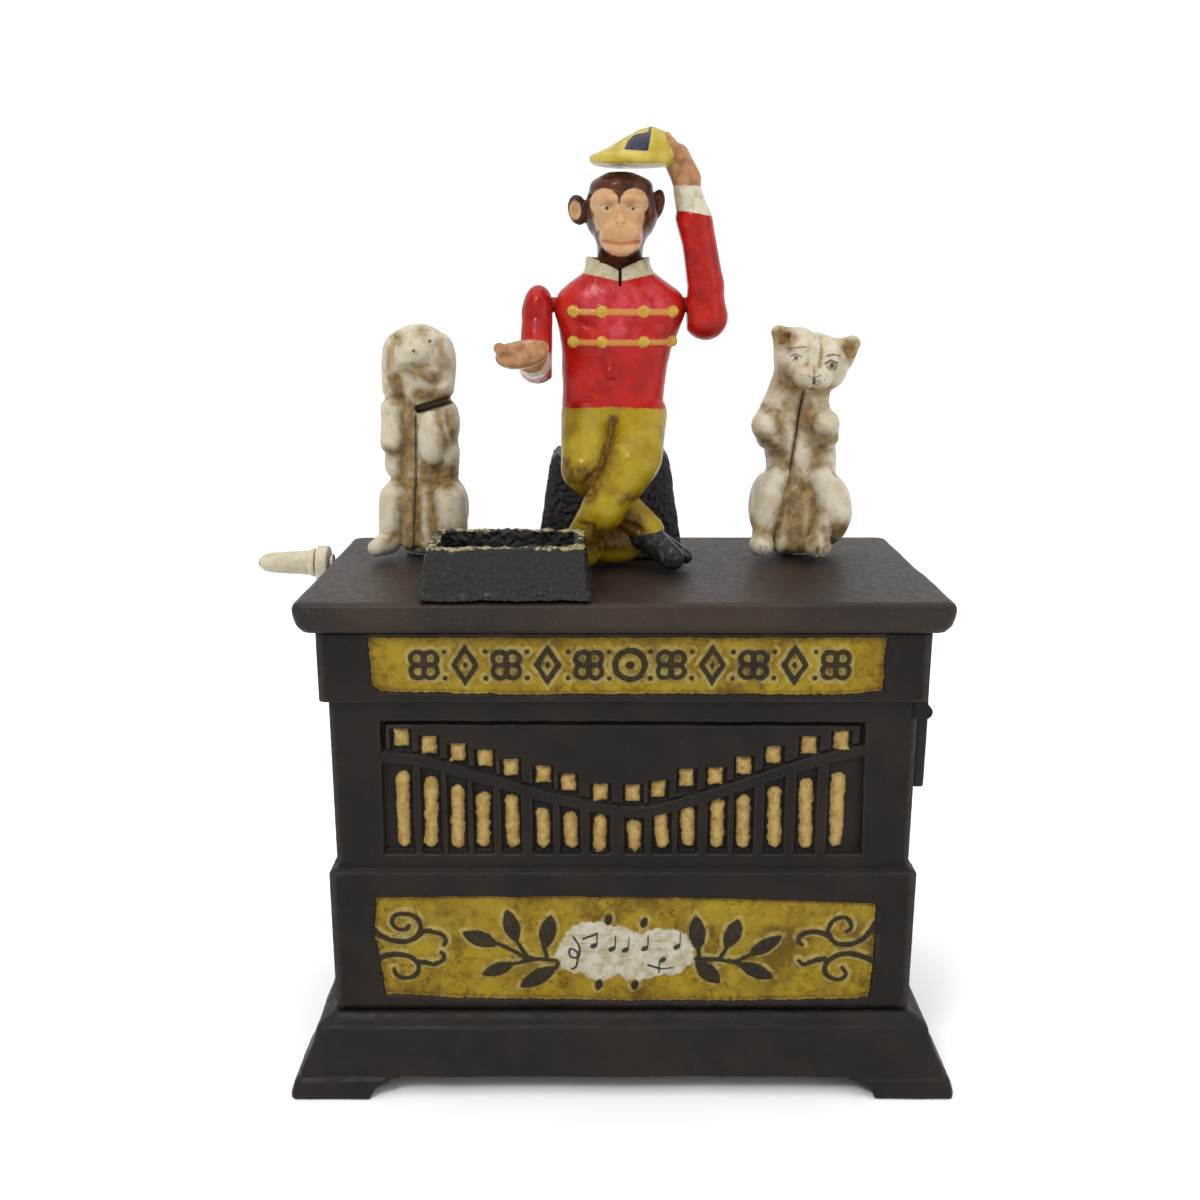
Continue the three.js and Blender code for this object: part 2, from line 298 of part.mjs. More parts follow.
knob = knob.subtract(rod([ARM_X0 + 1, SHAFT_Y, KZ], [-84, SHAFT_Y, KZ], 1.1, 1.1, 12));
put(crankGroup, "crank_knob", knob, CREAM);

// bevel pairs: the drive gear sits on the shaft on the inner side of each spindle
const toZ = (x) => new THREE.Matrix4().makeTranslation(x, FIGURE_Y, SHAFT_Z);
const toX = (x, s) => {
  const m = new THREE.Matrix4().makeBasis(V(0, 0, -1), V(0, s, 0), V(s, 0, 0));
  return m.premultiply(at(x, FIGURE_Y, SHAFT_Z));
};
function figureGear(x, parent, name) {
  put(parent, name, solid(bevelGear(0.5, SPINDLE_R + 0.25, 4.4, 101.2 - SHAFT_Z), toZ(x)), IRON);
}
function driveGear(x, s, name) {
  const flat = box(x + s * 12.5 - 1.1, x + s * 12.5 + 1.1, SHAFT_Y - 6, SHAFT_Y + 6, SHAFT_Z - 6, SHAFT_Z - 3.8); // flat on the hub for its set screw
  put(crankGroup, name, solid(bevelGear(0, SHAFT_R + 0.25, 4.6, 14), toX(x, s)).subtract(flat), IRON);
}
figureGear(DOG_X, dogGroup, "dog_gear");
figureGear(CAT_X, catGroup, "cat_gear");
driveGear(DOG_X, 1, "dog_drive_gear");
driveGear(CAT_X, -1, "cat_drive_gear");
put(crankGroup, "shaft_collar", rod([-54.2, SHAFT_Y, SHAFT_Z], [-50.6, SHAFT_Y, SHAFT_Z], 3.7).subtract(rod([-58, SHAFT_Y, SHAFT_Z], [-48, SHAFT_Y, SHAFT_Z], SHAFT_R + GAP)), STEEL);
put(crankGroup, "arm_cam", rod([MONKEY_X - 2.5, SHAFT_Y, SHAFT_Z - 2.4], [MONKEY_X + 2.5, SHAFT_Y, SHAFT_Z - 2.4], 6.6, 6.6, 20).subtract(rod([-12, SHAFT_Y, SHAFT_Z], [12, SHAFT_Y, SHAFT_Z], SHAFT_R + GAP)), IRON);
const star = [];
for (let i = 0; i < 12; i++) { const a = (i * Math.PI) / 6, r = i % 2 ? 3.6 : 5.2; star.push([SHAFT_Y + r * Math.cos(a), SHAFT_Z + r * Math.sin(a)]); }
put(crankGroup, "chime_star_wheel", prism(star, "yz", 18.8, 21.2).subtract(rod([10, SHAFT_Y, SHAFT_Z], [25, SHAFT_Y, SHAFT_Z], SHAFT_R + GAP)), IRON);

// ---- dog and cat: each a pair of half castings riveted together on a spindle ------------------
function figure(parent, name, x, build, rivet, yaw) {
  const g = new THREE.Group();
  g.position.set(x, FIGURE_Y, TOP_Z);
  g.rotation.z = (yaw * Math.PI) / 180;
  parent.add(g);
  let body = join(build);
  body = body.subtract(box(-30, 30, -30, 30, -20, 0.8));
  body = body.subtract(rod([0, 0, -5], [0, 0, 14], SPINDLE_R + 0.35, SPINDLE_R + 0.35, 16));
  body = body.subtract(rod([-20, rivet[1], rivet[2]], [20, rivet[1], rivet[2]], 1.2, 1.2, 10));
  body = body.subtract(rod([-20, rivet[1], rivet[2]], [-rivet[0] + 0.6, rivet[1], rivet[2]], 2.2, 2.2, 10)).subtract(rod([rivet[0] - 0.6, rivet[1], rivet[2]], [20, rivet[1], rivet[2]], 2.2, 2.2, 10));
  put(g, name + "_right_half", body.intersect(box(-30, -0.15, -30, 30, -10, 60)), CREAM);
  put(g, name + "_left_half", body.intersect(box(0.15, 30, -30, 30, -10, 60)), CREAM);
  put(g, name + "_rivet", rod([-rivet[0] + 0.1, rivet[1], rivet[2]], [rivet[0] - 0.1, rivet[1], rivet[2]], 0.95, 0.95, 10)
    .add(rod([-rivet[0] - 0.3, rivet[1], rivet[2]], [-rivet[0] + 0.3, rivet[1], rivet[2]], 1.4, 1.9, 10)).add(rod([rivet[0] - 0.3, rivet[1], rivet[2]], [rivet[0] + 0.3, rivet[1], rivet[2]], 1.9, 1.4, 10)), STEEL);
  put(parent, name + "_spindle", join([rod([x, FIGURE_Y, 92.2], [x, FIGURE_Y, 118.4], SPINDLE_R, SPINDLE_R, 16), rod([x, FIGURE_Y, 105.15], [x, FIGURE_Y, 105.6], 4.2, 4.2, 16)]), STEEL);
}
figure(dogGroup, "dog", DOG_X, [
  egg([-5.6, 0.5, 9.6], [4.9, 8.2, 8.4]), egg([5.0, 0.5, 9.6], [5.0, 8.2, 8.6]), egg([0, 4.5, 8], [7.2, 7, 7.5]),
  limb([0, 2, 10], 7.2, [0, 1.2, 30], 6.6, 10), egg([0, 0, 29], [8.3, 6.4, 6.4]),
  limb([-5.6, -2.5, 31], 3.1, [-5.4, -6.6, 24.2], 2.9), limb([5.6, -2.5, 31], 3.1, [5.6, -6.8, 24.4], 2.9),
  limb([0, 1.2, 32], 5.8, [0, 0.6, 38], 5.6), egg([0, -0.4, 43.2], [6.9, 7.3, 7.5]),
  egg([-5.9, 0.4, 41.4], [2.2, 4.2, 6.6]), egg([5.9, 0.4, 41.4], [2.2, 4.2, 6.6]),
  limb([0, -4.6, 41.6], 3.7, [0, -8.0, 41.0], 2.9),
  egg([-7.2, -7.4, 3.2], [3.3, 5.0, 2.6]), egg([6.8, -7.4, 3.2], [3.3, 5.0, 2.6]), limb([0, 9, 3.6], 2.2, [0, 12.6, 8], 1.6, 8),
], [6.6, 2, 20], 0);
figure(catGroup, "cat", CAT_X, [
  egg([-5.8, 0.5, 9.6], [5.2, 8.2, 8.6]), egg([6.2, 0.5, 9.4], [5.4, 8.2, 8.8]), egg([0, 4.5, 8], [7.4, 7, 7.5]),
  limb([0, 2, 11], 7.2, [0.2, 1.2, 28], 6.5, 10), egg([-0.8, 0, 27], [8.6, 5.8, 5.6]),
  limb([-7.0, -2.5, 28.2], 3.4, [-6.2, -7.2, 26.4], 3.1), limb([5.2, -2.5, 28.2], 3.4, [4.8, -7.2, 26.6], 3.1),
  limb([0, 1, 30], 6.0, [1.4, 0.2, 38], 5.4), egg([2.2, -0.8, 42.6], [7.8, 6.7, 6.9], [0, 8, 0]),
  egg([2.0, -6.4, 39.6], [4.4, 3.2, 3.2]),
  limb([-3.2, 0, 46.4], 3.2, [-5.4, 0.2, 48.8], 1.7), limb([7.4, 0, 45.0], 3.2, [9.8, 0.2, 46.6], 1.7),
  egg([-7.0, -7.6, 3.2], [3.2, 5.0, 2.6]), egg([5.4, -8.0, 3.2], [3.4, 5.0, 2.6]), limb([0, 9, 3.6], 2.2, [-2, 12.6, 8], 1.6, 8),
], [6.6, 2, 20], 0);

// ---- seat and monkey ---------------------------------------------------------------------------
let seat = stack([[16.6, 10.2, TOP_Z + GAP, 1], [16.2, 9.9, 107, 1], [13.2, 8.4, 126.2, 1.2], [12.2, 7.6, 128.2, 1]]).translate([-2.5, 16, 0]);
seat = seat.subtract(rod([MONKEY_X, ROD_Y, 100], [MONKEY_X, ROD_Y, 130], ROD_R + 0.6, ROD_R + 0.6, 12));
seat = seat.subtract(rod([SEAT_SCREW[0], SEAT_SCREW[1], 100], [SEAT_SCREW[0], SEAT_SCREW[1], 130], 1.7, 1.7, 12));
put(monkeyGroup, "seat", seat, CRINKLE);
put(monkeyGroup, "seat_screw", rod([SEAT_SCREW[0], SEAT_SCREW[1], 101.4], [SEAT_SCREW[0], SEAT_SCREW[1], 137], 1.4, 1.4, 12).add(rod([SEAT_SCREW[0], SEAT_SCREW[1], 99.6], [SEAT_SCREW[0], SEAT_SCREW[1], 101.5], 2.9, 2.9, 12)), STEEL);

// torso, head and crossed legs
let figureBody = join([
  loft([[-1.8, 9, 9.0, 6.5, 129.6], [-1.7, 8.6, 10.9, 8.0, 133], [-1.7, 8.4, 11.5, 8.7, 138.4], [-1.6, 8.2, 10.9, 8.2, 142], [-1.6, 8.2, 11.4, 8.4, 148], [-1.5, 8.2, 12.4, 8.6, 154.5], [-1.2, 8.2, 13.0, 8.2, 159.4], [-1.0, 8.2, 12.2, 7.4, 162.2], [-0.8, 8.2, 8.6, 6.6, 164.6], [-0.6, 8.0, 7.4, 6.2, 166.4], [-0.4, 7.8, 6.6, 5.6, 170.6]]),
  egg([-0.3, 7.6, 179.0], [8.0, 8.2, 7.7], [0, 0, 0], 10, 6), egg([-0.2, 0.9, 173.4], [4.6, 4.6, 4.9], [0, 0, 0], 10, 6), egg([-0.3, 5.6, 173.0], [5.6, 6.6, 5.4], [0, 0, 0], 10, 6),
  egg([-9.4, 8.6, 179.4], [2.1, 1.8, 3.2]), egg([8.4, 8.6, 180.4], [1.9, 1.8, 3.2]),
]);
const legs = join([
  limb([-7.4, 6.5, 137], 5.8, [-7.2, -4.6, 126.2], 5.2), limb([5.2, 6.5, 137], 5.8, [3.6, -5.6, 130.4], 5.4),
  limb([3.4, -6.2, 129.6], 5.0, [-7.6, -8.0, 113.6], 3.5), limb([-6.0, -3.0, 124], 4.4, [6.6, -3.2, 113.0], 3.2, 10),
  egg([-2.4, -2.6, 110.4], [6.8, 3.8, 4.6], [0, 0, 0], 10, 6), egg([-2.0, 2.0, 127.0], [7, 5, 7], [0, 0, 0], 10, 6),
]);
const shoes = join([limb([6.8, -3.4, 111.8], 3.2, [11.4, -6.4, 107.8], 2.4, 10)]);
figureBody = join([figureBody, legs, shoes]);
// clear of the seat, the top plate and the arms
figureBody = figureBody.subtract(box(-30, 30, -30, 40, 90, TOP_Z + GAP));
figureBody = figureBody.subtract(stack([[16.9, 10.5, TOP_Z, 1], [16.5, 10.2, 107, 1], [13.5, 8.7, 126.2, 1.2], [12.5, 7.9, 128.5, 1]]).translate([-2.5, 16, 0]));
figureBody = figureBody.intersect(box(-14.4, 13.4, -30, 40, 90, 200)).subtract(box(-45, H.x1 + 0.6, -40, H.y1 + 0.6, 100, H.z1 + 0.6));
// the way for the rod, the shoulder shaft and its lever
figureBody = figureBody.subtract(rod([MONKEY_X, ROD_Y, 120], [MONKEY_X, ROD_Y, 158], ROD_R + 0.6, ROD_R + 0.6, 12));
figureBody = figureBody.subtract(rod([SEAT_SCREW[0], SEAT_SCREW[1], 120], [SEAT_SCREW[0], SEAT_SCREW[1], 137.4], 1.7, 1.7, 12));
figureBody = figureBody.subtract(box(MONKEY_X - 1.6, MONKEY_X + 1.6, 5.2, 15.2, 156.6, 166.0));
figureBody = figureBody.subtract(rod([-30, SHOULDER_Y, SHOULDER_Z], [30, SHOULDER_Y, SHOULDER_Z], SHOULDER_R + 0.12, SHOULDER_R + 0.12, 16));
figureBody = figureBody.subtract(rod([MONKEY_X + 4.5, -30, 148.5], [MONKEY_X + 4.5, 40, 148.5], 1.15, 1.15, 10));
const PART_Y = SHOULDER_Y;
const frontHalf = figureBody.intersect(box(-40, 40, -40, PART_Y - 0.15, 90, 200)).subtract(box(-40, 40, 5.0, 40, 90, 128.6));
put(monkeyGroup, "monkey_front_half", frontHalf, RED);
put(monkeyGroup, "monkey_back_half", figureBody.intersect(box(-40, 40, PART_Y + 0.15, 40, 128.7, 200)), RED);
put(monkeyGroup, "monkey_rivet", rod([MONKEY_X + 4.5, 1.2, 148.5], [MONKEY_X + 4.5, 15.6, 148.5], 0.95, 0.95, 10), STEEL);
put(monkeyGroup, "push_rod", rod([MONKEY_X, ROD_Y, 97.0], [MONKEY_X, ROD_Y, 158.4], ROD_R, ROD_R, 12).add(rod([MONKEY_X, ROD_Y, 95.8], [MONKEY_X, ROD_Y, 97.2], 3.4, 3.4, 14)), STEEL);

// arms on the shoulder shaft
const shaftEnd = 17.2;
put(monkeyGroup, "shoulder_shaft", rod([-17.8, SHOULDER_Y, SHOULDER_Z], [shaftEnd, SHOULDER_Y, SHOULDER_Z], SHOULDER_R, SHOULDER_R, 16), STEEL);
put(monkeyGroup, "shoulder_lever", prism([[SHOULDER_Y + 1.2, SHOULDER_Z - 1.3], [SHOULDER_Y + 5.8, SHOULDER_Z - 1.3], [SHOULDER_Y + 5.8, SHOULDER_Z + 0.9], [SHOULDER_Y + 1.2, SHOULDER_Z + 1.3]], "yz", MONKEY_X - 1, MONKEY_X + 1)
  .add(rod([MONKEY_X - 1, SHOULDER_Y, SHOULDER_Z], [MONKEY_X + 1, SHOULDER_Y, SHOULDER_Z], 2.7, 2.7, 16)).subtract(rod([-10, SHOULDER_Y, SHOULDER_Z], [10, SHOULDER_Y, SHOULDER_Z], SHOULDER_R + 0.15, SHOULDER_R + 0.15, 16)), STEEL);
const shaftHole = rod([-18.1, SHOULDER_Y, SHOULDER_Z], [shaftEnd + 0.3, SHOULDER_Y, SHOULDER_Z], SHOULDER_R + GAP, SHOULDER_R + GAP, 16);
let handArm = join([
  egg([-17.7, 7.6, 159.2], [3.2, 4.2, 4.8], [0, 0, 0], 10, 6), limb([-17.7, 7.2, 158], 3.5, [-17.8, 2.2, 147.4], 3.8, 10),
  limb([-17.8, 1.6, 147.4], 3.7, [-18.6, -8.6, 149.6], 2.7, 10), egg([-20.2, -14.8, 151.6], [5.4, 6.4, 2.2], [8, -12, 10], 14, 8), limb([-17.0, -9.6, 150.6], 2.2, [-15.6, -13.6, 152.0], 1.4, 8),
]).intersect(box(-40, -14.8, -40, 40, 100, 200)).subtract(shaftHole);
put(monkeyGroup, "coin_hand_arm", handArm, RED);
let hatArm = join([
  limb([16.8, 8, 159.6], 4.0, [18.4, 6.4, 157.0], 4.2, 10), limb([18.2, 6.4, 157.2], 4.3, [16.4, 6.8, 177.0], 3.5, 10),
  limb([16.2, 6.8, 177.4], 3.3, [14.6, 7.0, 184.6], 2.7, 10), limb([14.4, 7.0, 185.4], 3.0, [11.2, 7.0, 191.0], 2.6, 10),
limb([11.6, 7.0, 190.6], 2.5, [8, 7.0, 191.4], 2.2)]).intersect(box(6, 40, -40, 40, 100, 200));
hatArm = hatArm.subtract(box(0, 13.9, -20, 40, 100, 172)).subtract(shaftHole);
// hat: a soft peaked cap, held by the raised hand
const hatRows = [[-6.4, 0.5, 189.4], [-5.2, 3.4, 189.9], [-1, 6.6, 192.4], [4, 7.6, 194.6], [8.0, 6.4, 195.2], [10.6, 4.4, 192.0]];
const hatPts = [];
for (const [x, hy, zt] of hatRows) {
  const zb = x < -3 ? 188.4 + (-x - 3) * 0.12 : 187.5;
  for (const [y, z] of [[-hy, zb], [hy, zb], [hy, zb + 1.6], [hy * 0.55, zt], [-hy * 0.55, zt], [-hy, zb + 1.6]]) hatPts.push([x, y + 7, z]);
}
const hatIdx = [], HN = 6, HK = hatRows.length;
for (let k = 0; k < HK - 1; k++) for (let i = 0; i < HN; i++) { const a = k * HN + i, b = k * HN + ((i + 1) % HN), c = a + HN, d = b + HN; hatIdx.push(a, b, d, a, d, c); }
for (let i = 1; i < HN - 1; i++) { hatIdx.push(0, i + 1, i); const t = (HK - 1) * HN; hatIdx.push(t, t + i, t + i + 1); }
let hat = solid(new THREE.BufferGeometry().setAttribute("position", new THREE.BufferAttribute(new Float32Array(hatPts.flat()), 3)).setIndex(hatIdx));
put(monkeyGroup, "hat_arm", hatArm.add(hat), RED);

export default root;
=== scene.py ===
# Looks for the cast-iron organ bank: distance-field castings, painted with node materials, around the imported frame.
import bpy, json, math
import numpy as np
from mathutils import Vector, Matrix


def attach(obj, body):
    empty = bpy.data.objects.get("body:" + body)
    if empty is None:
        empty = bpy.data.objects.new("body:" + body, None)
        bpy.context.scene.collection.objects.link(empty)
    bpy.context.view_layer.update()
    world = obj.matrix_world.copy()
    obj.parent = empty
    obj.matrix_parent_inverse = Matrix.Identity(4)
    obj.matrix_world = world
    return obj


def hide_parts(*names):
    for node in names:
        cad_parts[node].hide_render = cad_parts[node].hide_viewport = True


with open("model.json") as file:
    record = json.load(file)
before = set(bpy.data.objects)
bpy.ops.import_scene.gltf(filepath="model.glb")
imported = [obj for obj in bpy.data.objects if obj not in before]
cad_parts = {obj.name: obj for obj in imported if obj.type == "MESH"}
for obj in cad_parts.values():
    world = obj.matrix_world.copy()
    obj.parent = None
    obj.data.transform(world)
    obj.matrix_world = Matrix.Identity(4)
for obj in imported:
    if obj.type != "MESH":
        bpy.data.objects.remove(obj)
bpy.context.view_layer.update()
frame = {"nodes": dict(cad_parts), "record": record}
OX = 6.75            # the case's own middle is this far right of the origin, in mm
MM = 0.001
scene = bpy.context.scene

# ---------------------------------------------------------------- camera
cam_data = bpy.data.cameras.new("camera")
cam = bpy.data.objects.new("camera", cam_data)
scene.collection.objects.link(cam)
cam.location = ((-4.69 + OX) * MM, -267.77 * MM, 164.7 * MM)
cam.rotation_euler = (math.radians(90 - 14.1), 0, 0)
cam_data.sensor_width = 36
cam_data.lens = 37.98
cam_data.clip_start, cam_data.clip_end = 0.01, 20
scene.camera = cam

# ---------------------------------------------------------------- distance fields
def smin(a, b, k):
    if k <= 0:
        return np.minimum(a, b)
    h = np.clip(0.5 + 0.5 * (b - a) / k, 0, 1)
    return b * (1 - h) + a * h - k * h * (1 - h)


def capsule(a, b, ra, rb=None):
    rb = ra if rb is None else rb
    d = [b[i] - a[i] for i in range(3)]
    L2 = max(sum(v * v for v in d), 1e-9)

    def f(X, Y, Z):
        px, py, pz = X - a[0], Y - a[1], Z - a[2]
        t = np.clip((px * d[0] + py * d[1] + pz * d[2]) / L2, 0, 1)
        return np.sqrt((px - t * d[0]) ** 2 + (py - t * d[1]) ** 2 + (pz - t * d[2]) ** 2) - (ra + (rb - ra) * t)
    r = max(ra, rb)
    return f, [min(a[i], b[i]) - r for i in range(3)], [max(a[i], b[i]) + r for i in range(3)]


def rotation(rot):
    return np.array(Matrix.Rotation(math.radians(rot[2]), 3, "Z") @ Matrix.Rotation(math.radians(rot[1]), 3, "Y") @ Matrix.Rotation(math.radians(rot[0]), 3, "X"))


def egg(c, r, rot=(0, 0, 0)):
    R = rotation(rot)

    def f(X, Y, Z):
        p = (X - c[0], Y - c[1], Z - c[2])
        q = [sum(R[j, i] * p[j] for j in range(3)) for i in range(3)] if any(rot) else p
        k0 = np.sqrt(sum((q[i] / r[i]) ** 2 for i in range(3)))
        k1 = np.sqrt(sum((q[i] / r[i] ** 2) ** 2 for i in range(3)))
        return k0 * (k0 - 1) / np.maximum(k1, 1e-6)
    m = max(r) if any(rot) else None
    return f, [c[i] - (m or r[i]) for i in range(3)], [c[i] + (m or r[i]) for i in range(3)]


def block(c, h, rad=0.3, rot=(0, 0, 0)):
    R = rotation(rot)

    def f(X, Y, Z):
        p = (X - c[0], Y - c[1], Z - c[2])
        q = [sum(R[j, i] * p[j] for j in range(3)) for i in range(3)] if any(rot) else p
        d = [np.abs(q[i]) - (h[i] - rad) for i in range(3)]
        out = np.sqrt(sum(np.maximum(v, 0) ** 2 for v in d))
        ins = np.minimum(np.maximum(np.maximum(d[0], d[1]), d[2]), 0)
        return out + ins - rad
    m = math.sqrt(sum(v * v for v in h)) if any(rot) else None
    return f, [c[i] - (m or h[i]) for i in range(3)], [c[i] + (m or h[i]) for i in range(3)]


def cyl(a, axis, r, length, rad=0.2):
    """A round bar from a along x, y or z (0, 1, 2), with eased edges."""
    o = [i for i in range(3) if i != axis]

    def f(X, Y, Z):
        p = (X - a[0], Y - a[1], Z - a[2])
        dr = np.sqrt(p[o[0]] ** 2 + p[o[1]] ** 2) - (r - rad)
        da = np.abs(p[axis] - length / 2) - (abs(length) / 2 - rad)
        return np.sqrt(np.maximum(dr, 0) ** 2 + np.maximum(da, 0) ** 2) + np.minimum(np.maximum(dr, da), 0) - rad
    lo, hi = [a[i] - r for i in range(3)], [a[i] + r for i in range(3)]
    lo[axis], hi[axis] = min(a[axis], a[axis] + length), max(a[axis], a[axis] + length)
    return f, lo, hi


def ovals(rows, n=2.2):
    """Oval sections [centre x, centre y, half x, half y, z] with a smooth skin through them."""
    R = np.array(rows, float)
    z = R[:, 4]

    def smooth(v, Z):
        # cubic through the rows, with slopes taken from the neighbours
        m = np.gradient(v, z)
        i = np.clip(np.searchsorted(z, Z) - 1, 0, len(z) - 2)
        h = z[i + 1] - z[i]
        t = np.clip((Z - z[i]) / h, 0, 1)
        return (2 * t ** 3 - 3 * t ** 2 + 1) * v[i] + (t ** 3 - 2 * t ** 2 + t) * h * m[i] + (-2 * t ** 3 + 3 * t ** 2) * v[i + 1] + (t ** 3 - t ** 2) * h * m[i + 1]

    def f(X, Y, Z):
        cx, cy, rx, ry = (smooth(R[:, k], Z) for k in range(4))
        q = (np.abs((X - cx) / rx) ** n + np.abs((Y - cy) / ry) ** n) ** (1 / n)
        d = (q - 1) * np.minimum(rx, ry)
        cap = np.maximum(z[0] - Z, Z - z[-1])
        return np.maximum(d, cap)
    return f, [(R[:, 0] - R[:, 2]).min(), (R[:, 1] - R[:, 3]).min(), z[0]], [(R[:, 0] + R[:, 2]).max(), (R[:, 1] + R[:, 3]).max(), z[-1]]


class Field:
    def __init__(self, lo, hi, h):
        self.h = h
        self.lo = np.array(lo, float) - 2.5 * h
        self.n = np.ceil((np.array(hi, float) + 2.5 * h - self.lo) / h).astype(int) + 1
        self.D = np.full(self.n, 6.0, np.float32)

    def window(self, lo, hi, pad):
        a = np.clip(np.floor((np.array(lo) - pad - self.lo) / self.h).astype(int), 0, self.n - 1)
        b = np.clip(np.ceil((np.array(hi) + pad - self.lo) / self.h).astype(int) + 1, a + 1, self.n)
        sl = tuple(slice(a[i], b[i]) for i in range(3))
        ax = [(self.lo[i] + self.h * np.arange(a[i], b[i])).astype(np.float32) for i in range(3)]
        return sl, ax[0][:, None, None], ax[1][None, :, None], ax[2][None, None, :]

    def add(self, shape, k=0.0):
        f, lo, hi = shape
        sl, X, Y, Z = self.window(lo, hi, k + 3 * self.h + 0.5)
        self.D[sl] = smin(self.D[sl], f(X, Y, Z), k)
        return self

    def cut(self, shape, k=0.0):
        f, lo, hi = shape
        sl, X, Y, Z = self.window(lo, hi, k + 3 * self.h + 0.5)
        self.D[sl] = -smin(-self.D[sl], f(X, Y, Z), k)
        return self

    def keep(self, g):
        """Intersects with a function over the whole grid."""
        sl, X, Y, Z = self.window(self.lo, self.lo + self.n * self.h, 0)
        self.D = np.maximum(self.D, g(X, Y, Z)).astype(np.float32)
        return self

    def copy(self):
        o = object.__new__(Field)
        o.h, o.lo, o.n, o.D = self.h, self.lo, self.n, self.D.copy()
        return o


def skin(F):
    """Surface nets: one vertex in each cell the surface crosses, quads across each crossed edge."""
    D, n = F.D, F.D.shape
    D = np.where(np.abs(D) < 1e-6, 1e-6, D)
    ins = D < 0
    cnt = np.zeros([v - 1 for v in n], np.int8)
    for i in (0, 1):
        for j in (0, 1):
            for k in (0, 1):
                cnt += ins[i:n[0] - 1 + i, j:n[1] - 1 + j, k:n[2] - 1 + k]
    act = (cnt > 0) & (cnt < 8)
    cells = np.argwhere(act)
    idx = np.full(act.shape, -1, np.int64)
    idx[act] = np.arange(len(cells))
    acc, num = np.zeros((len(cells), 3)), np.zeros(len(cells))
    flat = D.reshape(-1)
    st = np.array([n[1] * n[2], n[2], 1])
    base = cells @ st
    for ax in range(3):
        o = [i for i in range(3) if i != ax]
        for p in (0, 1):
            for q in (0, 1):
                c = np.zeros(3, int)
                c[o[0]], c[o[1]] = p, q
                a = flat[base + c @ st]
                b = flat[base + c @ st + st[ax]]
                m = (a < 0) != (b < 0)
                t = a[m] / (a[m] - b[m])
                pos = np.tile(c.astype(float), (m.sum(), 1))
                pos[:, ax] += t
                acc[m] += pos
                num[m] += 1
    V = F.lo + F.h * (cells + acc / num[:, None])
    quads = []
    for ax in range(3):
        o = [i for i in range(3) if i != ax]
        a = ins.take(range(0, n[ax] - 1), axis=ax)
        b = ins.take(range(1, n[ax]), axis=ax)
        e = np.argwhere(a != b)
        ok = (e[:, o[0]] > 0) & (e[:, o[1]] > 0) & (e[:, o[0]] < n[o[0]] - 1) & (e[:, o[1]] < n[o[1]] - 1)
        e = e[ok]
        s = ins[tuple(e.T)]
        def at(d0, d1):
            c = e.copy()
            c[:, o[0]] -= d0
            c[:, o[1]] -= d1
            return idx[tuple(c.T)]
        q = np.stack([at(1, 1), at(0, 1), at(0, 0), at(1, 0)], 1)
        flip = s if ax != 1 else ~s
        q[~flip] = q[~flip][:, ::-1]
        quads.append(q)
    return V, np.vstack(quads)


# ---------------------------------------------------------------- noise at points
def _hash(i, j, k, seed):
    h = (i * 374761393 + j * 668265263 + k * 2147483647 + seed * 974634777) & 0xFFFFFFFF
    h = ((h ^ (h >> 13)) * 1274126177) & 0xFFFFFFFF
    return ((h ^ (h >> 16)) & 0xFFFF) / 32767.5 - 1.0


def noise(P, size, seed=1):
    """Smooth noise from -1 to 1 at points P (mm), with features of about size mm."""
    q = P / size
    i = np.floor(q).astype(np.int64)
    f = q - i
    u = f * f * (3 - 2 * f)
    out = 0
    for a in (0, 1):
        for b in (0, 1):
            for c in (0, 1):
                w = (u[:, 0] if a else 1 - u[:, 0]) * (u[:, 1] if b else 1 - u[:, 1]) * (u[:, 2] if c else 1 - u[:, 2])
                out = out + w * _hash(i[:, 0] + a, i[:, 1] + b, i[:, 2] + c, seed)
    return out


def normals(V, Q):
    d1, d2 = V[Q[:, 2]] - V[Q[:, 0]], V[Q[:, 3]] - V[Q[:, 1]]
    fn = np.cross(d1, d2)
    N = np.zeros_like(V)
    for c in range(3):
        for k in range(4):
            N[:, c] += np.bincount(Q[:, k], fn[:, c], len(V))
    return N / np.maximum(np.linalg.norm(N, axis=1, keepdims=True), 1e-12)


def neighbours(V, Q):
    a = np.concatenate([Q[:, k] for k in range(4)])
    b = np.concatenate([Q[:, (k + 1) % 4] for k in range(4)])
    deg = np.bincount(a, minlength=len(V)) + np.bincount(b, minlength=len(V))
    def mean(X):
        return np.stack([(np.bincount(a, X[b, c], len(V)) + np.bincount(b, X[a, c], len(V))) / np.maximum(deg, 1) for c in range(X.shape[1])], 1)
    return mean


def relax(V, Q, times, amount=0.5):
    mean = neighbours(V, Q)
    for _ in range(times):
        V = V + amount * (mean(V) - V)
    return V


def hollows(V, Q, h, wide=2.0):
    """edge: sharp outward bends. cav: how deep a point lies in a hollow a few mm wide."""
    N = normals(V, Q)
    mean = neighbours(V, Q)
    L = mean(V) - V
    e = -(L * N).sum(1) / h
    for _ in range(2):
        e = 0.5 * e + 0.5 * mean(e[:, None])[:, 0]
    S = V
    for _ in range(int(np.clip((wide / h) ** 2 * 0.7, 4, 60))):
        S = S + 0.7 * (mean(S) - S)
    cav = ((S - V) * N).sum(1)
    return e, cav


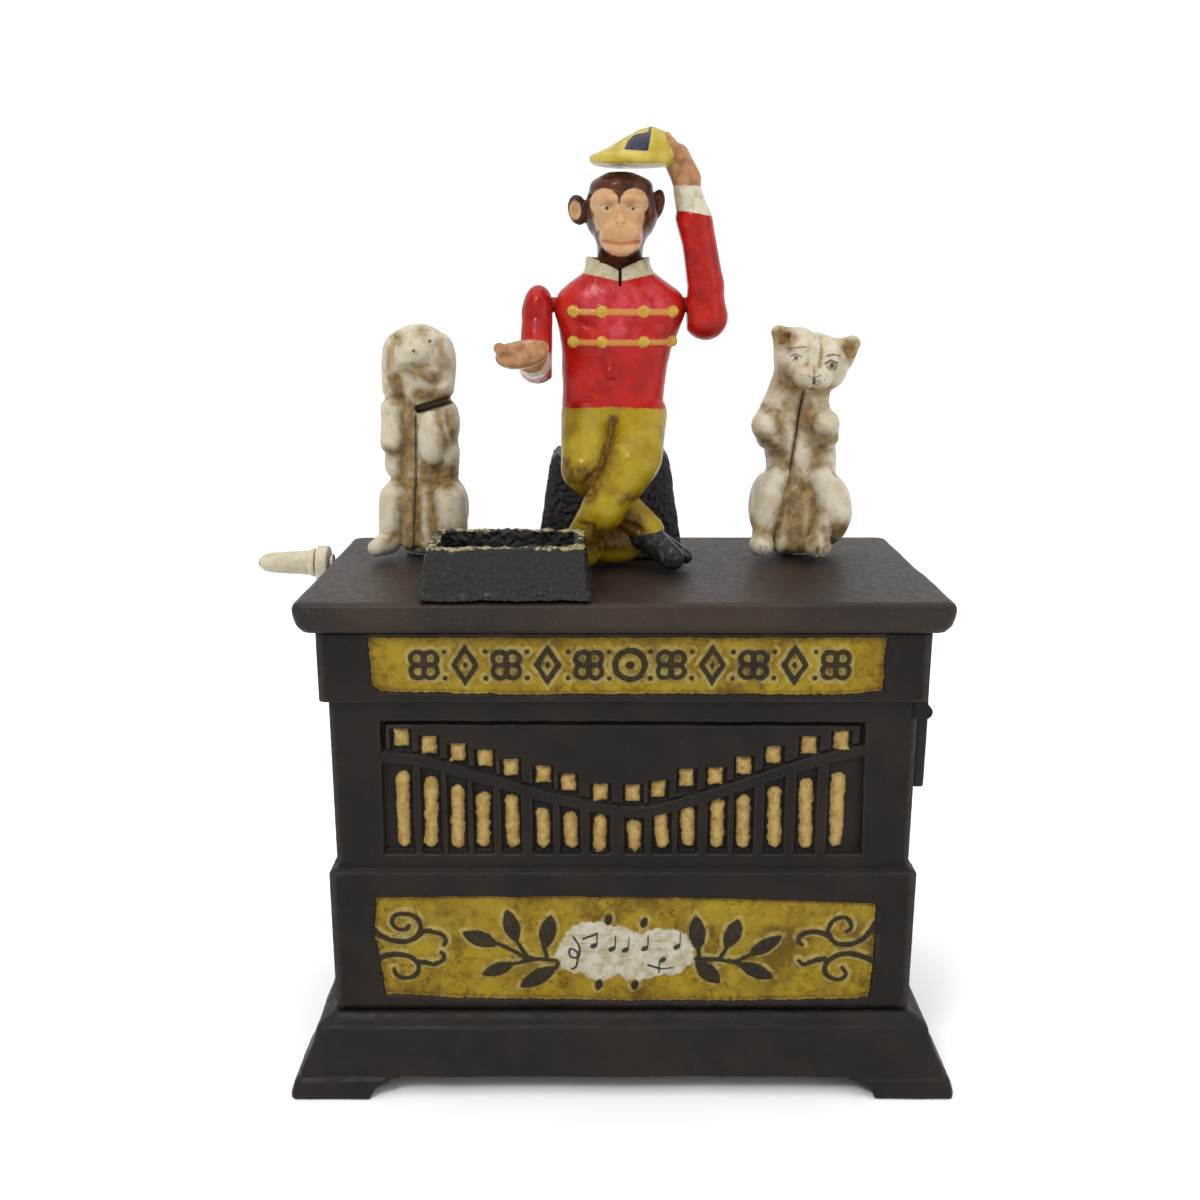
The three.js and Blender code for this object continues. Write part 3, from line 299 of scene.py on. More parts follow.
def mesh_object(name, V, Q, attrs=None, smooth=True):
    me = bpy.data.meshes.new(name)
    me.vertices.add(len(V))
    P = V.copy()
    P[:, 0] += OX
    me.vertices.foreach_set("co", (P * MM).astype(np.float32).ravel())
    me.loops.add(Q.size)
    me.loops.foreach_set("vertex_index", Q.astype(np.int32).ravel())
    me.polygons.add(len(Q))
    me.polygons.foreach_set("loop_start", (np.arange(len(Q)) * Q.shape[1]).astype(np.int32))
    me.polygons.foreach_set("loop_total", np.full(len(Q), Q.shape[1], np.int32))
    me.update(calc_edges=True)
    me.validate()
    me.polygons.foreach_set("use_smooth", np.full(len(me.polygons), smooth))
    for k, v in (attrs or {}).items():
        me.attributes.new(k, "FLOAT", "POINT").data.foreach_set("value", np.asarray(v, np.float32))
    o = bpy.data.objects.new(name, me)
    scene.collection.objects.link(o)
    return o


def casting(name, F, mat, body, node, rough=0.06, grain=1.1, seed=1, paint=None, smooth=1, wide=2.0, extra=None):
    """Skins a field, gives it the uneven surface of sand-cast iron, and puts it on the frame."""
    V, Q = skin(F)
    if smooth:
        V = relax(V, Q, smooth, 0.5)
    N = normals(V, Q)
    d = rough * (0.6 * noise(V, grain, seed) + 0.4 * noise(V, grain * 0.45, seed + 7)) + rough * 0.9 * noise(V, grain * 4.5, seed + 3)
    if extra is not None:
        d = d + extra(V, N)
    V = V + N * d[:, None]
    e, cav = hollows(V, Q, F.h, wide)
    at = {"edge": e, "cav": cav}
    if paint is not None:
        at.update(paint(V, N))
    o = mesh_object(name, V, Q, at)
    o.data.materials.append(mat)
    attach(o, body)
    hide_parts(*([node] if isinstance(node, str) else node))
    return o


# ---------------------------------------------------------------- materials
class Mat:
    def __init__(self, name):
        self.m = bpy.data.materials.new(name)
        self.m.use_nodes = True
        self.t = self.m.node_tree
        self.t.nodes.clear()
        self.out = self.n("ShaderNodeOutputMaterial")
        self.b = self.n("ShaderNodeBsdfPrincipled")
        self.link(self.b.outputs[0], self.out.inputs[0])
        self.tc = self.n("ShaderNodeTexCoord")

    tone = (1.0, 1.0, 1.0)

    def n(self, kind, **kw):
        x = self.t.nodes.new(kind)
        for k, v in kw.items():
            setattr(x, k, v)
        return x

    def link(self, a, b):
        self.t.links.new(a, b)

    def put(self, sock, v):
        if isinstance(v, (int, float)):
            sock.default_value = v
        elif isinstance(v, tuple):
            sock.default_value = v if len(v) == 4 else (*v, 1)
        else:
            self.link(v, sock)

    def noise(self, size, detail=4, rough=0.55, dist=0.0, stretch=None):
        """Noise with features of about size mm."""
        x = self.n("ShaderNodeTexNoise")
        x.inputs["Scale"].default_value = 1.0 / (size * MM)
        x.inputs["Detail"].default_value = detail
        x.inputs["Roughness"].default_value = rough
        x.inputs["Distortion"].default_value = dist
        if stretch:
            mp = self.n("ShaderNodeMapping")
            mp.inputs["Scale"].default_value = stretch
            self.link(self.tc.outputs["Object"], mp.inputs[0])
            self.link(mp.outputs[0], x.inputs["Vector"])
        else:
            self.link(self.tc.outputs["Object"], x.inputs["Vector"])
        return x.outputs["Fac"]

    def cells(self, size, feature="F1"):
        x = self.n("ShaderNodeTexVoronoi", feature=feature)
        x.inputs["Scale"].default_value = 1.0 / (size * MM)
        self.link(self.tc.outputs["Object"], x.inputs["Vector"])
        return x.outputs["Distance"]

    def attr(self, name):
        x = self.n("ShaderNodeAttribute")
        x.attribute_name = name
        return x.outputs["Fac"]

    def math(self, op, a, b=0.0, c=None, clamp=False):
        x = self.n("ShaderNodeMath", operation=op, use_clamp=clamp)
        self.put(x.inputs[0], a)
        self.put(x.inputs[1], b)
        if c is not None:
            self.put(x.inputs[2], c)
        return x.outputs[0]

    def span(self, v, a, b, lo=0.0, hi=1.0, kind="SMOOTHSTEP"):
        """v from a..b to lo..hi; a may be above b."""
        x = self.n("ShaderNodeMapRange", interpolation_type=kind, clamp=True) if kind == "LINEAR" else self.n("ShaderNodeMapRange", interpolation_type=kind)
        if a > b:
            a, b, lo, hi = b, a, hi, lo
        self.put(x.inputs[0], v)
        for i, u in enumerate((a, b, lo, hi)):
            x.inputs[1 + i].default_value = u
        return x.outputs[0]

    def mix(self, fac, a, b, blend="MIX"):
        x = self.n("ShaderNodeMix", data_type="RGBA", blend_type=blend)
        self.put(x.inputs[0], fac)
        for i, v in ((6, a), (7, b)):
            self.put(x.inputs[i], tuple(u * k for u, k in zip(v, self.tone)) if isinstance(v, tuple) else v)
        return x.outputs[2]

    def mixf(self, fac, a, b):
        x = self.n("ShaderNodeMix", data_type="FLOAT")
        self.put(x.inputs[0], fac)
        self.put(x.inputs[2], a)
        self.put(x.inputs[3], b)
        return x.outputs[0]

    def inside(self, name, soft=0.1, ragged=0.0, size=0.8, shift=0.0):
        """1 where the signed distance attribute is below zero; ragged in mm roughens the brush line."""
        v = self.attr(name)
        if ragged:
            v = self.math("MULTIPLY_ADD", self.math("SUBTRACT", self.noise(size, 3), 0.5), ragged * 2, v)
        return self.span(v, -soft + shift, soft + shift, 1, 0)

    def bump(self, height, strength, distance_mm, under=None):
        x = self.n("ShaderNodeBump")
        x.inputs["Strength"].default_value = strength
        x.inputs["Distance"].default_value = distance_mm * MM
        self.link(height, x.inputs["Height"])
        if under is not None:
            self.link(under, x.inputs["Normal"])
        return x.outputs[0]

    def done(self, color, rough, normal=None, metal=0.0, coat=0.0, coat_rough=0.1, spec=0.5, ior=1.5):
        self.put(self.b.inputs["Base Color"], color)
        self.put(self.b.inputs["Roughness"], rough)
        self.put(self.b.inputs["Metallic"], metal)
        self.b.inputs["IOR"].default_value = ior
        self.b.inputs["Specular IOR Level"].default_value = spec
        self.b.inputs["Coat Weight"].default_value = coat
        self.b.inputs["Coat Roughness"].default_value = coat_rough
        if normal is not None:
            self.link(normal, self.b.inputs["Normal"])
        return self.m


JAPAN = (0.021, 0.0155, 0.0125)
JAPAN_WARM = (0.043, 0.027, 0.019)
RUST = (0.075, 0.036, 0.019)


def japan_color(M, warm=0.5):
    M.tone = (0.355, 0.36, 0.36)
    c = M.mix(M.span(M.noise(14, 4, 0.6), 0.42, 0.68), JAPAN, JAPAN_WARM)
    c = M.mix(M.span(M.noise(2.2, 5, 0.65), 0.55, 0.75, 0, 0.55), c, (0.050, 0.033, 0.024))
    edge = M.span(M.math("ADD", M.attr("edge"), M.math("MULTIPLY", M.noise(1.6, 3), 0.10)), 0.13, 0.30, 0, 0.75)
    c = M.mix(edge, c, (0.085, 0.060, 0.045))
    c = M.mix(M.span(M.noise(0.5, 2), 0.70, 0.78, 0, 0.6), c, (0.13, 0.105, 0.085))
    # painted shade: near black in the hollows
    c = M.mix(M.span(M.attr("cav"), 0.06, 0.5, 0, 0.6), c, (0.010, 0.008, 0.007))
    M.tone = (1.0, 1.0, 1.0)
    return c


def japan_bump(M, strength=0.35):
    b = M.bump(M.noise(0.55, 4, 0.6), strength * 0.5, 0.10)
    return M.bump(M.noise(2.4, 3, 0.5), strength, 0.25, b)


def make_japan(name="black_japan", rough=(0.42, 0.62)):
    M = Mat(name)
    r = M.span(M.noise(3.5, 4), 0.3, 0.7, *rough)
    return M.done(japan_color(M), r, japan_bump(M), coat=0.02, coat_rough=0.35, spec=0.18)


def make_top(name="black_japan_top"):
    M = Mat(name)
    c = japan_color(M)
    c = M.mix(M.span(M.noise(30, 1, 0.4), 0.36, 0.66, 0.2, 0.9), c, (0.030, 0.019, 0.013))
    c = M.mix(M.span(M.noise(0.8, 4, 0.7), 0.58, 0.74, 0, 0.55), c, (0.075, 0.060, 0.048))
    r = M.span(M.noise(1.2, 4), 0.3, 0.7, 0.44, 0.56)
    return M.done(c, r, M.bump(M.noise(0.6, 4, 0.6), 0.14, 0.07), coat=0.03, coat_rough=0.32, spec=0.20)


def make_crinkle(name="crinkle_black", rim=False):
    M = Mat(name)
    n1 = M.noise(0.9, 6, 0.7)
    M.tone = (0.29, 0.27, 0.25) if rim else (0.42, 0.40, 0.38)
    c = M.mix(M.span(n1, 0.35, 0.7), (0.010, 0.010, 0.011), (0.040, 0.037, 0.036))
    c = M.mix(M.span(M.noise(0.6, 3), 0.66, 0.76, 0, 0.8), c, (0.14, 0.13, 0.125))
    c = M.mix(M.span(M.attr("edge"), 0.16, 0.36, 0, 0.55), c, (0.10, 0.09, 0.08))
    M.tone = (0.62, 0.62, 0.60)
    if rim:
        y = M.mix(M.span(M.noise(1.3, 4), 0.35, 0.65), (0.42, 0.33, 0.12), (0.62, 0.55, 0.33))
        y = M.mix(M.span(M.noise(0.7, 4), 0.55, 0.66, 0, 0.8), y, (0.16, 0.10, 0.05))
        c = M.mix(M.math("MULTIPLY", M.inside("rim", 0.12, 1.1, 1.5, -0.25), M.span(M.noise(2.1, 4, 0.6), 0.42, 0.52)), c, y)
    r = M.span(n1, 0.3, 0.7, 0.36, 0.66)
    b = M.bump(n1, 0.8, 0.45)
    b = M.bump(M.cells(0.8), 0.55, 0.30, b)
    b = M.bump(M.cells(1.3), 0.8, 0.45, b)
    return M.done(c, r, b, coat=0.16, coat_rough=0.16, spec=0.30)


def cream_color(M, grime_and_shade=1.0, base=(0.50, 0.45, 0.355), dark=(0.40, 0.345, 0.235)):
    c = M.mix(M.span(M.noise(5, 4, 0.6), 0.35, 0.68), base, dark)
    c = M.mix(M.span(M.noise(1.3, 4, 0.6), 0.52, 0.72, 0, 0.45), c, (0.36, 0.30, 0.19))
    # darker brown in the hollows: grime together with painted shade
    hollow = M.math("MULTIPLY_ADD", M.math("SUBTRACT", M.noise(2.0, 4, 0.65), 0.5), 0.75, M.attr("cav"))
    c = M.mix(M.span(hollow, -0.03, 0.24, 0, 0.9 * grime_and_shade), c, (0.225, 0.155, 0.052))
    c = M.mix(M.span(hollow, 0.20, 0.60, 0, 0.9 * grime_and_shade), c, (0.085, 0.044, 0.014))
    c = M.mix(M.span(M.noise(0.42, 2), 0.70, 0.77, 0, 0.75), c, (0.16, 0.115, 0.07))
    return c


def make_cream(name="cream_paint", grime_and_shade=1.0):
    M = Mat(name)
    r = M.span(M.noise(2.5, 4), 0.3, 0.7, 0.38, 0.62)
    b = M.bump(M.noise(0.7, 4, 0.6), 0.30, 0.14)
    return M.done(cream_color(M, grime_and_shade), r, b, coat=0.04, coat_rough=0.25, spec=0.25)


def make_animal(name, cat=False):
    M = Mat(name)
    c = cream_color(M, 1.0)
    # brown stains together with painted shade in the creases, under the limbs and round the mouth and chin
    c = M.mix(M.math("MULTIPLY", M.inside("stain_and_shade", 1.3, 1.7, 2.0, 0.55), 0.88), c, M.mix(M.span(M.noise(1.8, 4, 0.6), 0.40, 0.60), (0.225, 0.145, 0.034), (0.115, 0.055, 0.012)))
    # dark seam between the halves; on the dog it also carries painted shade round the gap under the chin
    c = M.mix(M.math("MULTIPLY", M.inside("seam", 0.45, 0.6, 1.4), 0.80), c, (0.085, 0.052, 0.018))
    if cat:
        c = M.mix(M.math("MULTIPLY", M.inside("pink", 0.5, 0.3), 0.75), c, (0.46, 0.22, 0.17))
    # dark paint for eyes, nose and mouth; on the dog it also fills the gap under the chin with painted shade
    c = M.mix(M.math("MULTIPLY", M.inside("eye", 0.20, 0.14, 0.6), 0.90), c, (0.026, 0.018, 0.013))
    r = M.span(M.noise(2.5, 4), 0.3, 0.7, 0.36, 0.6)
    b = M.bump(M.noise(0.7, 4, 0.6), 0.30, 0.14)
    return M.done(c, r, b, coat=0.05, coat_rough=0.25, spec=0.22)


RED_A, RED_B, RED_C = (0.37, 0.0095, 0.0055), (0.24, 0.0060, 0.0042), (0.46, 0.030, 0.012)
YEL_A, YEL_B = (0.50, 0.36, 0.035), (0.36, 0.20, 0.018)


def red_paint(M):
    c = M.mix(M.span(M.noise(6, 4, 0.55), 0.35, 0.68), RED_A, RED_B)
    c = M.mix(M.span(M.noise(2.6, 4, 0.55), 0.55, 0.74, 0, 0.6), c, RED_C)
    c = M.mix(M.span(M.attr("edge"), 0.06, 0.22, 0, 0.35), c, (0.46, 0.075, 0.030))
    # painted shade: darker red in the hollows
    c = M.mix(M.span(M.attr("cav"), 0.10, 0.8, 0, 0.75), c, (0.06, 0.003, 0.004))
    return c


def make_monkey():
    M = Mat("figure_paint")
    red = red_paint(M)
    # painted highlight: pinkish sheen patches on the chest
    red = M.mix(M.math("MULTIPLY", M.math("MULTIPLY", M.inside("painted_sheen", 2.2, 2.0, 3.0, 0.6), M.span(M.noise(2.4, 4, 0.6), 0.36, 0.60, 0.2, 1.0)), 0.80), red, (0.47, 0.055, 0.080))
    yel = M.mix(M.span(M.noise(5, 4, 0.6), 0.36, 0.66), (0.315, 0.225, 0.010), (0.225, 0.140, 0.007))
    # darker brown in the hollows: grime together with painted shade
    hol = M.math("MULTIPLY_ADD", M.math("SUBTRACT", M.noise(1.8, 4, 0.65), 0.5), 0.8, M.attr("cav"))
    yel = M.mix(M.span(hol, 0.04, 0.50, 0, 0.85), yel, (0.095, 0.046, 0.006))
    # brown soil stains together with painted shade along the creases, at the knees and between the feet
    yel = M.mix(M.math("MULTIPLY", M.inside("soil_and_shade", 1.1, 1.7, 1.7, 0.5), 0.90), yel, M.mix(M.span(M.noise(1.2, 4, 0.6), 0.42, 0.60), (0.125, 0.062, 0.006), (0.055, 0.022, 0.005)))
    c = M.mix(M.inside("coat", 0.10, 0.35, 2.2), yel, red)
    # braid and buttons
    c = M.mix(M.math("MULTIPLY", M.inside("braid", 0.16, 0.18, 0.9), 0.85), c, (0.44, 0.20, 0.045))
    c = M.mix(M.inside("button", 0.12, 0.10, 0.8), c, M.mix(M.span(M.noise(0.8, 3), 0.4, 0.65), (0.42, 0.28, 0.045), (0.42, 0.19, 0.02)))
    # collar
    col = M.mix(M.span(M.noise(1.8, 4), 0.35, 0.7), (0.44, 0.38, 0.26), (0.30, 0.27, 0.15))
    # painted shade in the collar's hollows
    col = M.mix(M.span(M.attr("cav"), 0.1, 0.6, 0, 0.8), col, (0.12, 0.07, 0.03))
    c = M.mix(M.inside("collar", 0.10, 0.16, 1.1), c, col)
    # fur
    fur = M.mix(M.span(M.noise(3.2, 4, 0.6), 0.38, 0.62), (0.030, 0.009, 0.006), (0.095, 0.024, 0.010))
    fur = M.mix(M.span(M.noise(0.9, 5, 0.7, 0.0, (1, 1, 0.35)), 0.55, 0.72, 0, 0.6), fur, (0.12, 0.036, 0.018))
    fur = M.mix(M.span(M.noise(7, 3, 0.5), 0.46, 0.62, 0, 0.7), fur, (0.030, 0.010, 0.013))
    c = M.mix(M.inside("fur", 0.10, 0.22, 1.3), c, fur)
    face = M.mix(M.span(M.noise(2.4, 4, 0.6), 0.35, 0.68), (0.47, 0.275, 0.145), (0.40, 0.225, 0.095))
    # painted shade in the face's hollows
    face = M.mix(M.span(M.attr("cav"), 0.04, 0.42, 0, 0.65), face, (0.20, 0.085, 0.030))
    c = M.mix(M.inside("face", 0.16, 0.22, 1.0), c, face)
    c = M.mix(M.math("MULTIPLY", M.inside("lips", 0.16, 0.14, 0.8), 0.75), c, (0.33, 0.085, 0.030))
    c = M.mix(M.math("MULTIPLY", M.inside("white", 0.22, 0.12, 0.6), 0.40), c, (0.46, 0.38, 0.24))
    c = M.mix(M.math("MULTIPLY", M.inside("eye", 0.20, 0.08, 0.5), 0.92), c, (0.035, 0.02, 0.012))
    # the collar's slit painted near black: painted shade in the gap
    c = M.mix(M.math("MULTIPLY", M.inside("slit", 0.14, 0.1, 0.6), 0.95), c, (0.035, 0.016, 0.010))
    shoe = M.mix(M.span(M.noise(1.2, 4), 0.5, 0.72), (0.016, 0.014, 0.014), (0.085, 0.072, 0.070))
    c = M.mix(M.inside("shoe", 0.12, 0.25, 1.0), c, shoe)
    r = M.span(M.noise(2.2, 4), 0.3, 0.7, 0.20, 0.42)
    b = M.bump(M.noise(0.8, 4, 0.55), 0.22, 0.12)
    b = M.bump(M.noise(3.0, 3, 0.5), 0.45, 0.35, b)
    return M.done(c, r, b, coat=0.10, coat_rough=0.12, spec=0.14)


def make_arm(name):
    M = Mat(name)
    c = red_paint(M)
    cuff = M.mix(M.span(M.noise(1.6, 4), 0.4, 0.7), (0.49, 0.45, 0.36), (0.36, 0.32, 0.19))
    c = M.mix(M.inside("cuff", 0.10, 0.22, 1.3), c, cuff)
    skin_c = M.mix(M.span(M.noise(2.2, 4), 0.36, 0.66), (0.36, 0.185, 0.085), (0.235, 0.11, 0.045))
    # painted shade in the hand's hollows
    skin_c = M.mix(M.span(M.attr("cav"), 0.05, 0.5, 0, 0.8), skin_c, (0.09, 0.032, 0.011))
    c = M.mix(M.inside("hand", 0.12, 0.25, 1.2), c, skin_c)
    yel = M.mix(M.span(M.noise(4, 4, 0.6), 0.36, 0.66), (0.47, 0.375, 0.070), (0.36, 0.26, 0.030))
    yel = M.mix(M.span(M.attr("edge"), 0.07, 0.25, 0, 0.5), yel, (0.52, 0.46, 0.20))
    # painted shade in the cap's hollows
    yel = M.mix(M.span(M.attr("cav"), 0.1, 0.6, 0, 0.8), yel, (0.20, 0.12, 0.02))
    c = M.mix(M.inside("hat", 0.10, 0.12, 1.0), c, yel)
    c = M.mix(M.inside("panel", 0.12, 0.10, 0.9), c, M.mix(M.span(M.noise(1.0, 3), 0.4, 0.7), (0.016, 0.018, 0.040), (0.035, 0.035, 0.060)))
    r = M.span(M.noise(2.2, 4), 0.3, 0.7, 0.20, 0.42)
    b = M.bump(M.noise(0.8, 4, 0.55), 0.22, 0.12)
    b = M.bump(M.noise(3.0, 3, 0.5), 0.30, 0.30, b)
    return M.done(c, r, b, coat=0.10, coat_rough=0.12, spec=0.14)


def make_metal(name, color, dark, rough, metal=1.0, rust=0.0):
    M = Mat(name)
    c = M.mix(M.span(M.noise(3.0, 5, 0.6), 0.35, 0.7), color, dark)
    if rust:
        c = M.mix(M.span(M.noise(1.6, 5, 0.65), 0.52, 0.68, 0, rust), c, RUST)
    r = M.span(M.noise(1.2, 4), 0.3, 0.7, *rough)
    b = M.bump(M.noise(0.5, 4, 0.6, 0, (1, 1, 0.2)), 0.25, 0.05)
    return M.done(c, r, b, metal=metal)


def make_front():
    M = Mat("front_relief")
    c = japan_color(M)
    # yellow grounds: mottled mustard over brown
    M.tone = (0.53, 0.49, 0.13)
    g = M.mix(M.span(M.noise(4.5, 5, 0.65), 0.34, 0.62), (0.50, 0.37, 0.055), (0.34, 0.22, 0.028))
    g = M.mix(M.span(M.noise(1.5, 5, 0.65), 0.46, 0.70, 0, 0.85), g, (0.15, 0.075, 0.018))
    g = M.mix(M.span(M.noise(11, 5, 0.65), 0.47, 0.66, 0, 0.85), g, (0.15, 0.085, 0.020))
    g = M.mix(M.span(M.noise(9, 4, 0.6), 0.46, 0.66, 0, 0.55), g, (0.60, 0.47, 0.12))
    # darker brown in the hollows: grime together with painted shade
    hol = M.math("MULTIPLY_ADD", M.math("SUBTRACT", M.noise(1.2, 4, 0.65), 0.5), 0.35, M.attr("cav"))
    g = M.mix(M.span(hol, 0.05, 0.34, 0, 0.85), g, (0.13, 0.070, 0.014))
    g = M.mix(M.span(M.attr("edge"), 0.05, 0.20, 0, 0.7), g, (0.66, 0.56, 0.26))
    c = M.mix(M.inside("ground", 0.10, 0.30, 0.9), c, g)
    # painted highlight: a pale ring round the raised dark ornaments
    c = M.mix(M.math("MULTIPLY", M.math("MULTIPLY", M.inside("halo_highlight", 0.16, 0.30, 0.8), M.span(M.noise(2.2, 4, 0.6), 0.38, 0.58, 0.15, 1.0)), 0.6), c, (0.66, 0.58, 0.75))
    M.tone = (0.5, 0.5, 0.5)
    ink = M.mix(M.span(M.noise(0.8, 4), 0.5, 0.75), (0.016, 0.013, 0.011), (0.060, 0.042, 0.024))
    c = M.mix(M.math("MULTIPLY", M.inside("ink", 0.10, 0.16, 0.7), 0.95), c, ink)
    # pipes
    M.tone = (0.66, 0.68, 0.68)
    p = M.mix(M.span(M.noise(1.6, 5, 0.6), 0.38, 0.66), (0.56, 0.38, 0.13), (0.42, 0.25, 0.06))
    p = M.mix(M.span(M.noise(0.7, 4), 0.58, 0.7, 0, 0.7), p, (0.14, 0.08, 0.03))
    c = M.mix(M.math("MULTIPLY", M.inside("pipe", 0.12, 0.34, 0.9), 0.97), c, p)
    # pale patch with staves
    w = M.mix(M.span(M.noise(2.0, 4, 0.6), 0.36, 0.7), (0.66, 0.60, 0.50), (0.46, 0.38, 0.24))
    w = M.mix(M.span(M.noise(0.8, 4), 0.60, 0.72, 0, 0.7), w, (0.25, 0.17, 0.06))
    c = M.mix(M.math("MULTIPLY", M.inside("patch", 0.25, 0.9, 1.4), 0.95), c, w)
    c = M.mix(M.math("MULTIPLY", M.inside("stave", 0.07, 0.06, 0.7), 0.55), c, (0.10, 0.075, 0.05))
    c = M.mix(M.math("MULTIPLY", M.inside("mark", 0.09, 0.06, 0.7), 0.95), c, (0.020, 0.016, 0.014))
    M.tone = (1.0, 1.0, 1.0)
    lit = M.math("MAXIMUM", M.inside("ground", 0.2), M.inside("pipe", 0.2))
    r = M.mixf(lit, M.span(M.noise(3.5, 4), 0.3, 0.7, 0.42, 0.62), M.span(M.noise(1.5, 4), 0.3, 0.7, 0.34, 0.56))
    return M.done(c, r, japan_bump(M, 0.40), coat=0.02, coat_rough=0.3, spec=0.14)


M_JAPAN = make_japan()
M_CRINKLE = make_crinkle()
M_HOPPER = make_crinkle("crinkle_black_rim", rim=True)
M_TOP = make_top()
M_CREAM = make_cream()
M_DOG = make_animal("cream_dog")
M_CAT = make_animal("cream_cat", cat=True)
M_MONKEY = make_monkey()
M_ARM = make_arm("arm_paint")
M_FRONT = make_front()
M_SHAFT = Mat("painted_shaft")
M_SHAFT = M_SHAFT.done(red_paint(M_SHAFT), M_SHAFT.span(M_SHAFT.noise(2.2, 4), 0.3, 0.7, 0.3, 0.5), M_SHAFT.bump(M_SHAFT.noise(0.8, 4, 0.55), 0.22, 0.12), coat=0.04, coat_rough=0.2, spec=0.14)
M_STEEL = make_metal("bright_steel", (0.42, 0.40, 0.37), (0.22, 0.20, 0.18), (0.32, 0.52), rust=0.35)
M_IRON = make_metal("bare_iron", (0.12, 0.11, 0.10), (0.055, 0.050, 0.045), (0.45, 0.68), 0.8, rust=0.4)
M_BRASS = make_metal("bell_brass", (0.62, 0.43, 0.16), (0.34, 0.22, 0.09), (0.28, 0.46))
SLOT_MAT = {"black_japan": M_JAPAN, "crinkle_black": M_CRINKLE, "cream_paint": M_CREAM, "figure_paint": M_MONKEY, "bright_steel": M_STEEL, "bare_iron": M_IRON, "bell_brass": M_BRASS}
for sp in frame["record"]["subparts"]:
    o = frame["nodes"][sp["node"]]
    o.data.materials.clear()
    o.data.materials.append(M_SHAFT if sp["node"] == "shoulder_shaft" else SLOT_MAT[sp["material_slot"]])

# ---------------------------------------------------------------- outlines on the front, in mm
def seg2(x, z, a, b, ra, rb=None):
    rb = ra if rb is None else rb
    dx, dz = b[0] - a[0], b[1] - a[1]
    t = np.clip(((x - a[0]) * dx + (z - a[1]) * dz) / max(dx * dx + dz * dz, 1e-9), 0, 1)
    return np.hypot(x - a[0] - t * dx, z - a[1] - t * dz) - (ra + (rb - ra) * t)


def curve2(pts, n=4):
    P = [np.array(p, float) for p in pts]
    if len(P) < 3:
        return P
    P = [2 * P[0] - P[1]] + P + [2 * P[-1] - P[-2]]
    out = []
    for i in range(1, len(P) - 2):
        for k in range(n):
            t = k / n
            a, b, c, d = P[i - 1], P[i], P[i + 1], P[i + 2]
            out.append(0.5 * (2 * b + (c - a) * t + (2 * a - 5 * b + 4 * c - d) * t * t + (3 * b - a - 3 * c + d) * t ** 3))
    return out + [P[-2]]


def line2(x, z, pts, r0, r1=None, n=4):
    r1 = r0 if r1 is None else r1
    P = curve2(pts, n)
    d = np.full(x.shape, 9.0)
    for i in range(len(P) - 1):
        ra, rb = (r0 + (r1 - r0) * (i + j) / (len(P) - 1) for j in (0, 1))
        d = np.minimum(d, seg2(x, z, P[i], P[i + 1], ra, rb))
    return d


def leaf2(x, z, a, b, w):
    ux, uz = b[0] - a[0], b[1] - a[1]
    L = math.hypot(ux, uz)
    s = ((x - a[0]) * ux + (z - a[1]) * uz) / L
    t = np.abs((x - a[0]) * -uz + (z - a[1]) * ux) / L
    # two arcs meeting in a point at each end
    R = ((L / 2) ** 2 + w ** 2) / (2 * w)
    return np.hypot(s - L / 2, t + R - w) - R


def poly2(x, z, pts):
    d = np.full(x.shape, 1e9)
    inside = np.zeros(x.shape, bool)
    for (ax, az), (bx, bz) in zip(pts, pts[1:] + pts[:1]):
        d = np.minimum(d, seg2(x, z, (ax, az), (bx, bz), 0))
        inside ^= ((az > z) != (bz > z)) & (x < (bx - ax) * (z - az) / ((bz - az) or 1e-9) + ax)
    return np.where(inside, -d, d)


def step(v, a, b):
    t = np.clip((v - a) / (b - a), 0, 1)
    return t * t * (3 - 2 * t)


STUBS = [(-44.7, 75.8), (-39.1, 74.3), (-33.4, 72.7), (-27.9, 71.4), (-22.7, 69.4), (-16.2, 67.9), (-11.1, 66.2), (-4.6, 64.1), (2.0, 63.8), (7.2, 64.7), (12.9, 67.2), (18.8, 67.5), (24.4, 69.9), (30.4, 72.1), (37.4, 74.2), (43.9, 75.4)]
TOPS = [(-44.7, 68.3), (-39.0, 67.4), (-33.7, 65.3), (-28.5, 63.8), (-22.8, 63.4), (-16.4, 60.4), (-10.8, 59.5), (-4.7, 58.9), (2.3, 57.8), (7.9, 59.3), (13.2, 60.8), (19.3, 62.3), (24.6, 63.2), (30.8, 65.0), (37.2, 66.8), (43.7, 68.1)]
BOTS = [(-45.0, 52.0), (-39.4, 51.9), (-33.9, 51.8), (-28.7, 52.0), (-22.5, 51.7), (-16.3, 51.8), (-10.5, 51.6), (-4.8, 51.0), (2.4, 51.2), (8.1, 51.6), (13.4, 51.9), (19.3, 51.7), (24.7, 51.6), (31.2, 51.8), (37.6, 51.6), (43.8, 52.0)]
RAIL = [(-50.5, 72.0), (-48.6, 71.8), (-41.9, 71.2), (-35.7, 69.6), (-30.2, 67.8), (-23.3, 65.7), (-16.3, 63.5), (-10.1, 62.0), (-4.5, 60.7), (0.4, 60.0), (4.6, 60.0), (9.5, 61.1), (16.5, 63.2), (23.4, 65.6), (30.3, 68.1), (37.1, 70.4), (44.0, 72.3), (48.0, 73.2), (50.5, 73.7)]
RECESS = [(-48.6, 79.7), (48.3, 79.4), (48.9, 50.9), (-48.9, 51.0)]
